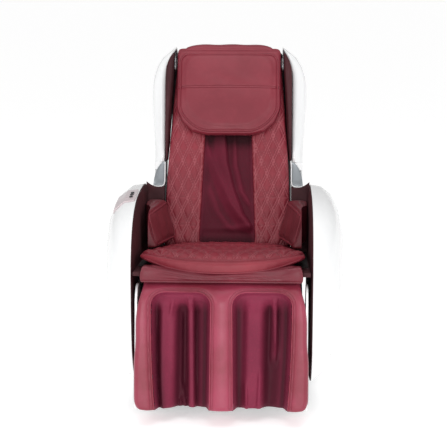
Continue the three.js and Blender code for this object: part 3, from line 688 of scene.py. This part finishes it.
# the padded wings beside the head
wing = {
    "voxel": 0.005, "soften": 2, "inset": 0.002, "cap": 0.004,
    "seamUp": [0.34, 0.52, 0.64, 0.725], "seamOut": [0.209, 0.206, 0.200, 0.192],
}


def makeWing(side, turn, look):
    node = "wing_" + side
    piece = copyNodes("wingPad_" + side, backPlace, node)
    plump(piece, look)
    spots = pointsOf(piece)
    seam = np.abs(spots[:, 0] * turn - np.interp(spots[:, 2], look["seamUp"], look["seamOut"]))
    markSeamsAndShade(piece, 1 - seam / 0.004)
    finishPiece(piece, "backrest", "dark_liner", backPlace, [node])


bothSides(makeWing, wing)

# the hip pads, which swell between the arm and the sitter
hipPad = {
    "voxel": 0.005, "soften": 4, "inset": 0.003, "cap": 0.008, "weltRadius": 0.0018,
    "edge": [
        (-0.066, 0.482, 0.012), (0.132, 0.466, 0.012), (0.173, 0.564, 0.012),
        (0.158, 0.572, 0.010), (-0.052, 0.572, 0.014),
    ],
}


def makeHipPad(side, turn, look):
    node = "hip_pad_" + side
    piece = copyNodes("hipPad_" + side, basePlace, node)
    plump(piece, look)
    spots, faces = pointsOf(piece), normalsOf(piece)
    inward = smoothStep(-faces[:, 0] * turn, 0.3, 0.8)
    y, z = spots[:, 1], spots[:, 2]
    slack = np.sin(z * 60 + y * 25) * 0.0016 + np.sin(y * 80 - z * 30) * 0.0012
    spots[:, 0] -= turn * inward * slack
    lean = 1.14 - 0.40 * np.clip((spots[:, 2] - 0.46) / 0.12, 0, 1)
    out = 0.264 - (0.264 - np.abs(spots[:, 0])) * lean
    spots[:, 0] = turn * np.minimum(out, 0.242 + 0.022 * smoothStep(spots[:, 1], 0.02, 0.12))
    setPoints(piece, spots)
    welt = roundedPath(look["edge"], 6)
    gap = pathGap(spots[:, [1, 2]], welt, True)
    markSeamsAndShade(piece, inward * (1 - gap / 0.009))
    line = layOn(piece, [(0, y, z) for y, z in welt], (turn, 0, 0), 0.0005)
    finishPiece(pipe("hipPadWelt_" + side, line, look["weltRadius"], True), "chair_base", "leather", basePlace)
    # the pad takes the darker leather: painted shade
    finishPiece(piece, "chair_base", "leather", basePlace, [node], finish=shadedHipLeather)


bothSides(makeHipPad, hipPad)

# the quilted seat cushion, pointed at its front corners
seatPad = {
    "voxel": 0.005, "soften": 2, "inset": 0.002, "cap": 0.006,
    "crown": 0.017, "wide": 0.046, "tall": 0.150, "curl": 0.030,
}
seatFrontLine = [(-0.249, -0.252), (-0.205, -0.288), (-0.150, -0.318), (-0.080, -0.338), (0, -0.346)]
seatFrontLine += [(0.080, -0.338), (0.150, -0.318), (0.205, -0.288), (0.249, -0.252)]


def seatFrontAt(across):
    line = np.array(seatFrontLine)
    return np.interp(across, line[:, 0], line[:, 1])


def makeSeatPad(look):
    piece = copyNodes("seatPad", basePlace, "seat_cushion")
    plump(piece, look)
    spots, faces = pointsOf(piece), normalsOf(piece)
    across, along = spots[:, 0].copy(), spots[:, 1].copy()
    bottom = 0.461 - 0.1 * (along + 0.345)
    level = np.clip((spots[:, 2] - bottom) / 0.027, 0, 1)
    dome = np.clip(1 - (across / 0.252) ** 2, 0, 1) ** 0.7
    fore = smoothStep(along - seatFrontAt(across), -0.01, 0.10) * (1 - smoothStep(along, -0.04, 0.13))
    spots[:, 2] += level * look["crown"] * dome * (0.25 + 0.75 * fore)
    pinch = np.clip(np.abs(across) / 0.250, 0, 1) ** 3
    spots[:, 2] -= level * 0.015 * pinch
    curl = np.clip(np.abs(across) / 0.250, 0, 1.02) ** 2.4 * (1 - smoothStep(along, -0.20, 0.02))
    spots[:, 2] += curl * look["curl"]
    inside = along - seatFrontAt(across)
    fore = 1 - smoothStep(inside, 0.0, 0.05)
    spots[:, 2] -= (1 - level) * 0.007 * dome * fore
    spots[:, 1] -= 0.006 * dome * fore
    top = smoothStep(faces[:, 2], 0.45, 0.85)
    quilted = smoothStep(inside, 0.030, 0.040)
    lines = quiltGap(across, along - 0.02, look["wide"], look["tall"], 0.0036)
    for row in (-0.205, -0.055):
        lines = np.minimum(lines, np.abs(along - row))
    puff = 1 - np.exp(-lines / 0.005)
    spots[:, 2] += top * quilted * (0.0045 * puff - 0.0012)
    rim = np.abs(inside - 0.030)
    spots[:, 2] -= top * 0.0035 * np.exp(-(rim / 0.005) ** 2)
    setPoints(piece, spots)
    markSeamsAndShade(piece, top * np.maximum(quilted * (1 - lines / 0.0055), 0.8 - rim / 0.009))
    reach = np.linspace(-0.238, 0.238, 70)
    upper, lower = [], []
    for x in reach:
        front, share = float(seatFrontAt(x)), x / 0.25
        upper.append((x, front + 0.011 + 0.012 * abs(x / 0.24) ** 3, 0.6))
        rise = look["curl"] * abs(share) ** 2.4 - 0.007 * (1 - share ** 2)
        lower.append((x, -0.6, 0.4675 - 0.1 * (front + 0.345) + rise))
    upper = layOn(piece, upper, (0, 0, -1), 0.0004)
    lower = layOn(piece, lower, (0, 1, 0), 0.0006)
    for name, line, radius in (("seatWeltTop", upper, 0.0022), ("seatWeltLow", lower, 0.0030)):
        finishPiece(pipe(name, line, radius), "chair_base", "leather", basePlace)
    finishPiece(piece, "chair_base", "quilt", basePlace, ["seat_cushion"])


makeSeatPad(seatPad)

# the apron under the seat's front edge
apron = {"voxel": 0.005, "soften": 2, "inset": 0.002, "cap": 0.005}
apronFolds = [  # left end (across, up), right end (across, up), height
    (-0.23, 0.4590, 0.02, 0.4480, 0.0100), (-0.06, 0.4540, 0.23, 0.4500, 0.0095),
    (-0.22, 0.4470, 0.05, 0.4410, 0.0080), (0.02, 0.4400, 0.22, 0.4430, 0.0075),
]


def makeApron(look, folds):
    piece = copyNodes("seatApron", basePlace, "seat_apron")
    plump(piece, look)
    spots, faces = pointsOf(piece), normalsOf(piece)
    across, up = spots[:, 0].copy(), spots[:, 2].copy()
    front = smoothStep(-faces[:, 1], 0.2, 0.8)
    for left, leftUp, right, rightUp, height in folds:
        share = np.clip((across - left) / (right - left), 0, 1)
        ends = smoothStep(share, 0, 0.25) * (1 - smoothStep(share, 0.75, 1))
        middle = leftUp + (rightUp - leftUp) * share + 0.0015 * np.sin(across * 30)
        beside = up - middle
        spots[:, 1] -= front * height * ends * lopsided(beside, 0.0025, 0.006)
    hem = np.abs(up - 0.4345)
    spots[:, 1] += front * 0.0015 * np.exp(-(hem / 0.0025) ** 2)
    spots[:, 1] += front * 0.004
    spots[:, 0] *= 1 - 0.022 * smoothStep(up, 0.445, 0.462)
    spots[:, 2] += 0.019 * np.clip(np.abs(across) / 0.24, 0, 1) ** 2 * smoothStep(up, 0.440, 0.462)
    setPoints(piece, spots)
    markSeamsAndShade(piece, front * (1 - hem / 0.0035) * 0.8)
    # the apron takes the darker leather: painted shade
    finishPiece(piece, "chair_base", "leather", basePlace, ["seat_apron"], finish=shadedApronLeather)


makeApron(apron, apronFolds)

# the cloth-covered linings of the arm pods
lining = {
    "halfLong": 0.347, "halfTall": 0.293, "middle": (0.030, 0.345),
    "inner": 0.2645, "outer": 0.2726, "power": 3.0, "rings": 16, "around": 96,
}


def makeLining(side, turn, look):
    rings, count = look["rings"], look["around"]
    points, faces = [], []
    for back in (0, 1):
        for ring in range(rings + 1):
            share = (ring / rings) ** 0.7 if ring else 0
            for step in range(count):
                angle = 2 * math.pi * step / count
                long = math.copysign(abs(math.cos(angle)) ** (2 / look["power"]), math.cos(angle))
                tall = math.copysign(abs(math.sin(angle)) ** (2 / look["power"]), math.sin(angle))
                y = look["middle"][0] + look["halfLong"] * long * share
                z = look["middle"][1] + look["halfTall"] * tall * share
                swell = 0.0030 * (1 - share ** 6) + 0.0006 * math.sin(y * 35 + z * 22) * (1 - share ** 8)
                x = look["outer"] if back else look["inner"] + 0.0030 - swell + 0.0030 * share ** 40
                points.append((turn * x, y, z))
    for back in (0, 1):
        base = back * (rings + 1) * count
        for ring in range(rings):
            for step in range(count):
                later = (step + 1) % count
                start, end = base + ring * count, base + (ring + 1) * count
                faces.append((start + step, start + later, end + later, end + step))
    rimFront, rimBack = rings * count, (2 * rings + 1) * count
    for step in range(count):
        later = (step + 1) % count
        faces.append((rimFront + step, rimFront + later, rimBack + later, rimBack + step))
    piece = newPiece("armLining_" + side, points, faces)
    fixNormals(piece)
    spots = pointsOf(piece)
    y = (spots[:, 1] - look["middle"][0]) / look["halfLong"]
    z = (spots[:, 2] - look["middle"][1]) / look["halfTall"]
    radius = (np.abs(y) ** look["power"] + np.abs(z) ** look["power"]) ** (1 / look["power"])
    markSeamsAndShade(piece, 1 - np.abs(radius - 0.965) * look["halfLong"] / 0.006)
    finishPiece(piece, "chair_base", "dark_liner", basePlace, ["arm_liner_" + side], 50)


bothSides(makeLining, lining)


# the leg rest: leather round two cloth-lined calf troughs
legRest = {
    "round": 0.072, "low": -0.316, "back": 0.040, "half": 0.2555, "inner": 0.031, "outer": 0.2115,
    "troughTop": 0.046, "cornerRadius": 0.046, "wall": 0.015, "shallow": 0.056, "deep": 0.024, "lastTurn": 128,
    "foot": 0.012, "bulge": 0.005, "clothRows": 84, "turns": 44, "across": 176, "overlap": 0.0045,
}
troughFolds = {  # side: (middle, lean, spread, height, from, to)
    "left": [
        (-0.162, 0.02, 0.028, 0.034, -0.40, 0.02), (-0.113, 0.01, 0.007, -0.012, -0.32, -0.01),
        (-0.091, -0.01, 0.011, 0.030, -0.36, 0.035), (-0.172, 0.16, 0.006, 0.008, -0.06, 0.03),
        (-0.130, -0.12, 0.005, 0.011, -0.35, -0.23), (-0.102, 0.14, 0.005, 0.009, -0.35, -0.26),
    ],
    "right": [
        (0.099, 0.01, 0.032, 0.034, -0.40, 0.03), (0.156, 0.02, 0.010, 0.016, -0.20, 0.04),
        (0.122, 0.05, 0.008, 0.010, -0.36, -0.18),
        (0.070, -0.03, 0.005, 0.010, -0.36, -0.22), (0.166, -0.05, 0.008, 0.007, -0.18, 0.03),
    ],
}


def legHalf(along):
    # the half-width of the leather, drawn in at the top and rounded at the bottom
    upper = 0.020 * ease(along, -0.075, 0.085) ** 1.5
    lower = 0.0
    if along < -0.276:
        lower = 0.026 * (1 - math.sqrt(max(0, 1 - min(1, (-0.276 - along) / 0.042) ** 2)))
    bulge = legRest["bulge"] * ease(-along, 0.10, 0.18)
    return legRest["half"] + bulge - upper - lower


def troughDepthAt(across, along):
    # how far inside a trough's outline a place is; below zero is outside
    sink = min(1, max(0, -along / 0.316))
    inner, outer = legRest["inner"] + 0.003 * sink, legRest["outer"] - 0.012 * sink ** 2
    middle, half = (inner + outer) / 2, (outer - inner) / 2
    corner = legRest["cornerRadius"]
    reachX, reachS = abs(abs(across) - middle) - half + corner, along - legRest["troughTop"] + corner
    return corner - math.hypot(max(reachX, 0), max(reachS, 0)) - min(max(reachX, reachS), 0)


def legSpot(across, along, cloth=False):
    # a place on the front of the leg rest; along is the height, then the way round the top
    look = legRest
    inside = troughDepthAt(across, along)
    edge = legHalf(along) - abs(across)
    crown = 0.0
    if edge < 0.015:
        crown = 0.015 - math.sqrt(max(0, 0.015 ** 2 - (0.015 - max(edge, 0)) ** 2))
    if inside < 0:
        crown += 0.0045 * math.exp(-(inside / 0.009) ** 2) - 0.003 * (1 - math.exp(-(inside / 0.02) ** 2))
    else:
        crown += 0.0045
    rise = ease(inside, 0, look["wall"])
    fore = ease(look["troughTop"] - along, 0, 0.075)
    dish = look["deep"] * fore * ease(inside, 0.01, 0.06)
    deep = rise * (look["shallow"] * (0.34 + 0.66 * fore) + dish)
    if cloth and inside > 0:
        calm = ease(inside, 0.006, 0.026)
        for middle, lean, spread, height, start, end in troughFolds["left" if across < 0 else "right"]:
            ends = ease(along, start, start + 0.05) * (1 - ease(along, end - 0.05, end))
            beside = (across - middle - lean * (along + 0.15)) / spread
            deep -= calm * height * ends * math.exp(-beside ** 4)
        deep += 0.0010
    corner = look["foot"]
    if along >= 0:
        angle = along / look["round"]
        radius = look["round"] - crown
        return Vector((across, -radius * math.cos(angle) + deep, radius * math.sin(angle)))
    if along >= look["low"] + corner:
        return Vector((across, -look["round"] + crown + deep, along))
    turn = min(1, (look["low"] + corner - along) / (corner * math.pi / 2)) * math.pi / 2
    y = -look["round"] + crown + deep + corner * (1 - math.cos(turn))
    return Vector((across, y, look["low"] + corner * (1 - math.sin(turn))))


def legRows():
    look, corner = legRest, legRest["foot"]
    rows = [look["low"] + corner - corner * math.pi / 2 * (1 - step / 4) for step in range(4)]
    count = look["clothRows"]
    rows += [(look["low"] + corner) * (1 - step / count) for step in range(count)]
    turns = look["turns"]
    rows += [look["round"] * math.radians(look["lastTurn"]) * step / turns for step in range(turns + 1)]
    return rows


def legEnd(across, along):
    # where the leather ends, at the back of the leg rest
    look = legRest
    if along < 0:
        return Vector((across, look["back"], max(along, look["low"])))
    angle = along / look["round"]
    y = -math.cos(angle) * (0.018 if angle < 1.57 else 0.036)
    return Vector((across, y, 0.030 * math.sin(angle)))


def makeLegLeather():
    rows = legRows()
    count = legRest["across"]
    points, faces, insides = [], [], []
    for row, along in enumerate(rows):
        half = legHalf(along)
        line = []
        start, stop = legSpot(-half, along), legEnd(-half, along)
        for step in (3, 2, 1):
            line.append((start.lerp(stop, step / 3), -1.0))
        for column in range(count + 1):
            across = (2 * column / count - 1) * half
            line.append((legSpot(across, along), troughDepthAt(across, along)))
        start, stop = legSpot(half, along), legEnd(half, along)
        for step in (1, 2, 3):
            line.append((start.lerp(stop, step / 3), -1.0))
        points += [spot for spot, inside in line]
        insides += [inside for spot, inside in line]
    wide = count + 7
    overlap = legRest["overlap"]
    for corners in gridFaces(len(rows) - 1, wide - 1):
        if max(insides[corner] for corner in corners) < overlap:
            faces.append(corners)
    under = []
    for column in range(wide):
        spot = points[column].copy()
        spot.y = legRest["back"]
        under.append(len(points))
        points.append(spot)
        insides.append(insides[column])
    for column in range(wide - 1):
        if max(insides[column], insides[column + 1]) < overlap:
            faces.append((column + 1, column, under[column], under[column + 1]))
    piece = newPiece("litPinkLegLeather", points, faces)
    shape = bmesh.new()
    shape.from_mesh(piece.data)
    loose = [vert for vert in shape.verts if not vert.link_faces]
    bmesh.ops.delete(shape, geom=loose, context="VERTS")
    bmesh.ops.remove_doubles(shape, verts=shape.verts, dist=weldReach)
    shape.to_mesh(piece.data)
    shape.free()
    useModifier(piece, "SOLIDIFY", thickness=0.004, offset=-1)
    spots = pointsOf(piece)
    closeness = np.zeros(len(spots))
    for index, (x, y, z) in enumerate(spots):
        along = z if z < 0 else legRest["round"] * math.atan2(z, max(1e-6, -y)) if y < 0 else 0.12
        inside = troughDepthAt(x, along)
        closeness[index] = 1 - min(abs(inside + 0.0075), abs(inside)) / 0.0045
    markSeamsAndShade(piece, closeness)
    nodes = ["leg_bolster_left", "leg_bolster_right", "leg_divider", "leg_top_band"]
    finishPiece(piece, "leg_rest", "leather", legPlace, nodes, finish=litPinkLegLeather)


def troughOutline(turn, grow):
    # the line round a trough, from its outer foot over the top to its inner foot
    look = legRest
    rows = [look["low"] + 0.004 + (0.316 - 0.004) * step / 60 for step in range(61)]
    top, radius = look["troughTop"] + grow, look["cornerRadius"] + grow
    straight = top - radius
    line, inner = [], []
    for along in rows:
        if along < straight:
            sink = min(1, max(0, -along / 0.316))
            line.append((look["outer"] - 0.012 * sink ** 2 + grow, along))
            inner.append((look["inner"] + 0.003 * sink - grow, along))
    for step in range(13):
        angle = math.pi / 2 * step / 12
        across = look["outer"] + grow - radius + radius * math.cos(angle)
        line.append((across, straight + radius * math.sin(angle)))
    for step in range(13):
        angle = math.pi / 2 * (1 - step / 12)
        across = look["inner"] - grow + radius - radius * math.cos(angle)
        line.append((across, straight + radius * math.sin(angle)))
    line += reversed(inner)
    return [(turn * across, along) for across, along in line]


def makeTroughCloth(side, turn):
    rows = [along for along in legRows() if along < legRest["troughTop"] + 0.004]
    count = 72
    points, insides, faces = [], [], []
    for along in rows:
        for column in range(count + 1):
            across = turn * (0.027 + 0.189 * column / count)
            inside = troughDepthAt(across, along)
            points.append(legSpot(across, along, True))
            insides.append(inside)
    for corners in gridFaces(len(rows) - 1, count):
        if min(insides[corner] for corner in corners) > 0.0008:
            faces.append(corners)
    piece = newPiece("troughCloth_" + side, points, faces)
    shape = bmesh.new()
    shape.from_mesh(piece.data)
    bmesh.ops.delete(shape, geom=[vert for vert in shape.verts if not vert.link_faces], context="VERTS")
    bmesh.ops.recalc_face_normals(shape, faces=shape.faces)
    if sum(face.normal.y for face in shape.faces) > 0:
        bmesh.ops.reverse_faces(shape, faces=shape.faces)
    rim = [edge for edge in shape.edges if edge.is_boundary]
    drawn = bmesh.ops.extrude_edge_only(shape, edges=rim)
    for item in drawn["geom"]:
        if isinstance(item, bmesh.types.BMVert):
            item.co.y = 0.046
    back = [edge for edge in shape.edges if edge.is_boundary]
    bmesh.ops.contextual_create(shape, geom=back)
    bmesh.ops.recalc_face_normals(shape, faces=shape.faces)
    shape.to_mesh(piece.data)
    shape.free()
    spots = pointsOf(piece)
    # painted shade on the calf cloth: dark bands on the trough walls and in its deepest hollows
    troughShade = np.zeros(len(spots))
    for index, (x, y, z) in enumerate(spots):
        inside = troughDepthAt(x, z)
        wall = float(hump(inside, 0.019, 0.013)) * ease(-z, -0.03, 0.03)
        hollow = ease(y, -0.022, 0.008) * ease(inside, -0.002, 0.012)
        troughShade[index] = max(0.9 * wall, 0.8 * hollow)
    markSeamsAndShade(piece, troughShade)
    finishPiece(piece, "leg_rest", "curtain", legPlace, ["calf_pad_" + side], 60, calfCloth)


makeLegLeather()
for side, turn in sides.items():
    makeTroughCloth(side, turn)
    for label, grow, radius in (("", 0.0, 0.0021), ("Outer", 0.0085, 0.0013)):
        outline = troughOutline(turn, grow)
        line = [legSpot(across, along) - Vector((0, 0.0006, 0)) for across, along in outline]
        welt = pipe("troughWelt" + label + "_" + side, line, radius)
        finishPiece(welt, "leg_rest", "leather", legPlace, finish=litPinkLegLeather)
print("leg rest made")


# the speakers in the wings: a dark oval cup, a bright ring and a drilled cover
speaker = {"place": (0.1838, -0.088, 0.676), "deep": 0.0085, "long": 0.0165, "tall": 0.027, "dot": 8}


def makeSpeaker(side, turn, look):
    pickUp(None)
    bpy.ops.mesh.primitive_uv_sphere_add(segments=40, ring_count=20, radius=1, rotation=(0, math.pi / 2, 0))
    cup = bpy.context.object
    cup.name = "speakerCup_" + side
    bpy.ops.object.transform_apply(location=True, rotation=True, scale=True)
    bpy.ops.object.mode_set(mode="EDIT")
    bpy.ops.mesh.select_all(action="SELECT")
    bpy.ops.transform.resize(value=(look["deep"], look["long"], look["tall"]))
    bpy.ops.mesh.bisect(plane_co=(0, 0, 0), plane_no=(turn, 0, 0), use_fill=True, clear_outer=True)
    bpy.ops.mesh.normals_make_consistent(inside=False)
    bpy.ops.object.mode_set(mode="OBJECT")
    atX, atY, atZ = look["place"]
    cup.data.transform(Matrix.Translation((turn * atX, atY, atZ)))
    finishPiece(cup, "backrest", "speaker_grille", backPlace, ["speaker_" + side], 50)
    line = []
    for step in range(40):
        angle = 2 * math.pi * step / 40
        line.append((turn * (atX - 0.0025), atY + 0.0158 * math.cos(angle), atZ + 0.0262 * math.sin(angle)))
    finishPiece(pipe("speakerRing_" + side, line, 0.0013, True), "backrest", "bright_steel", backPlace)
    points, faces, count = [], [], look["dot"]
    for row in range(-5, 6):
        for column in range(-3, 4):
            y, z = column * 0.0036 + (row % 2) * 0.0018, row * 0.0040
            if (y / 0.0125) ** 2 + (z / 0.022) ** 2 > 1:
                continue
            depth = look["deep"] * math.sqrt(1 - (y / look["long"]) ** 2 - (z / look["tall"]) ** 2)
            x = atX - depth
            start = len(points)
            for ring, out in ((0.0011, 0.0002), (0.0007, -0.0006)):
                for step in range(count):
                    angle = 2 * math.pi * step / count
                    dotY, dotZ = atY + y + ring * math.cos(angle), atZ + z + ring * math.sin(angle)
                    points.append((turn * (x + out), dotY, dotZ))
            for step in range(count):
                later = (step + 1) % count
                faces.append((start + step, start + later, start + count + later, start + count + step))
            faces.append(tuple(range(start + count, start + 2 * count)))
            faces.append(tuple(reversed(range(start, start + count))))
    dots = newPiece("speakerDots_" + side, points, faces)
    fixNormals(dots)
    finishPiece(dots, "backrest", "bright_steel", backPlace, angle=40)


bothSides(makeSpeaker, speaker)

# dark cloth that closes the sides behind the hip pads and beside the seat
gusset = {"inner": 0.211, "outer": 0.2722, "low": 0.018, "high": 0.258, "front": -0.066, "rear": -0.053}
skirt = {"inner": 0.2425, "outer": 0.2643, "front": -0.335, "rear": 0.120, "low": 0.400, "high": 0.412}
trimLip = {
    "line": [
        (0.2125, 0.344), (0.2120, 0.310), (0.2120, 0.280), (0.2145, 0.266),
        (0.2210, 0.2605), (0.2320, 0.2590), (0.2440, 0.2600), (0.2510, 0.2640),
    ],
    "depth": -0.0525, "radius": 0.0021, "filler": ((0.2235, 0.2500), (-0.0400, -0.0340), (0.3200, 0.3460)),
}


def makeBlock(name, corners, rows, bevel):
    # a thin soft block: the corners of its face, then its thickness
    (x0, x1), (y0, y1), (z0, z1) = corners
    pickUp(None)
    bpy.ops.mesh.primitive_cube_add(size=1, location=((x0 + x1) / 2, (y0 + y1) / 2, (z0 + z1) / 2))
    piece = bpy.context.object
    piece.name = name
    bpy.ops.object.mode_set(mode="EDIT")
    bpy.ops.mesh.select_all(action="SELECT")
    bpy.ops.transform.resize(value=(abs(x1 - x0), abs(y1 - y0), abs(z1 - z0)))
    bpy.ops.mesh.subdivide(number_cuts=rows)
    bpy.ops.object.mode_set(mode="OBJECT")
    bpy.ops.object.transform_apply(location=True, rotation=True, scale=True)
    useModifier(piece, "BEVEL", width=bevel, segments=3, limit_method="ANGLE")
    return piece


def makeGusset(side, turn, look):
    reach = sorted((turn * look["inner"], turn * look["outer"]))
    box = (reach, (look["front"], look["rear"]), (look["low"], look["high"]))
    piece = makeBlock("sideGusset_" + side, box, 10, 0.003)
    spots, faces = pointsOf(piece), normalsOf(piece)
    front = smoothStep(-faces[:, 1], 0.2, 0.8)
    spots[:, 1] -= front * (0.002 * np.sin(spots[:, 2] * 90 + spots[:, 0] * 60) + 0.002)
    share = np.clip((np.abs(spots[:, 0]) - look["inner"]) / (look["outer"] - look["inner"]), 0, 1)
    sag = 0.016 * share ** 2 - 0.006 * np.sin(math.pi * share)
    spots[:, 2] += smoothStep(spots[:, 2], 0.15, look["high"]) * sag
    setPoints(piece, spots)
    topGap, sideGap = spots[:, 2] - look["high"] + 0.008, np.abs(spots[:, 0]) - look["outer"] + 0.006
    seam = np.minimum(np.abs(topGap), np.abs(sideGap))
    markSeamsAndShade(piece, front * (0.8 - seam / 0.006))
    finishPiece(piece, "chair_base", "dark_liner", backPlace, angle=60)


def makeSkirt(side, turn, look):
    reach = sorted((turn * look["inner"], turn * look["outer"]))
    box = (reach, (look["front"], look["rear"]), (look["low"], look["high"]))
    piece = makeBlock("seatSideCloth_" + side, box, 12, 0.002)
    spots = pointsOf(piece)
    spots[:, 2] += 0.461 - 0.1 * (spots[:, 1] + 0.345) - 0.414 + 0.0008 * np.sin(spots[:, 1] * 70)
    setPoints(piece, spots)
    markSeamsAndShade(piece, 0.8 - np.abs(np.abs(spots[:, 0]) - 0.261) / 0.004)
    finishPiece(piece, "chair_base", "dark_liner", basePlace, angle=60)


def makeTrimLip(side, turn, look):
    path = [(turn * across, look["depth"], up) for across, up in look["line"]]
    finishPiece(pipe("trimLip_" + side, path, look["radius"]), "backrest", "white_shell", backPlace)
    wide, deep, tall = look["filler"]
    reach = sorted((turn * wide[0], turn * wide[1]))
    corner = makeBlock("trimCorner_" + side, (reach, deep, tall), 2, 0.001)
    finishPiece(corner, "backrest", "white_shell", backPlace)


for side, turn in sides.items():
    makeGusset(side, turn, gusset)
    makeSkirt(side, turn, skirt)
    makeTrimLip(side, turn, trimLip)


# the moulded shells, rounded over and smooth
def makeShell(name, node, body, place, slotName, width):
    piece = copyNodes(name, place, node)
    if width:
        limit = math.radians(35)
        useModifier(piece, "BEVEL", width=width, segments=2, limit_method="ANGLE", angle_limit=limit)
    finishPiece(piece, body, slotName, place, [node], 40)


trayNarrowed = 0.984  # so that the leather covers the tray's cheeks


def makeTray():
    piece = copyNodes("calfTray", legPlace, "legrest_tray")
    useModifier(piece, "BEVEL", width=0.0015, segments=2, limit_method="ANGLE")
    spots = pointsOf(piece)
    spots[:, 0] *= trayNarrowed
    setPoints(piece, spots)
    finishPiece(piece, "leg_rest", "white_shell", legPlace, ["legrest_tray"], 40)


for side, turn in sides.items():
    makeShell("armPod_" + side, "arm_shell_" + side, "chair_base", basePlace, "white_shell", 0)
    makeShell("backSide_" + side, "back_shell_" + side, "backrest", backPlace, "white_shell", 0)
    makeShell("trimPlate_" + side, "trim_" + side, "backrest", backPlace, "silver_trim", 0.0012)
makeTray()
mouldedBodies = {
    "back_cover": "backrest", "base_rear_cover": "chair_base", "control_box": "chair_base",
    "air_pump": "chair_base", "power_switch": "power_rocker",
}
for node, body in mouldedBodies.items():
    makeShell("moulded_" + node, node, body, Matrix(), "black_plastic", 0.0008)
print("shells made")

# the pale floor
bpy.ops.mesh.primitive_plane_add(size=90, location=(0, 0, -0.0005))
floor = bpy.context.object
floor.name = "studioFloor"
paper = bpy.data.materials.new("paleFloor")
paper.use_nodes = True
paperSurface = paper.node_tree.nodes["Principled BSDF"]
setInputs(paperSurface, {
    "Base Color": (0.92, 0.92, 0.92, 1), "Roughness": 0.9,
    "Emission Color": (1, 1, 1, 1), "Emission Strength": 0.43,
})
floor.data.materials.append(paper)
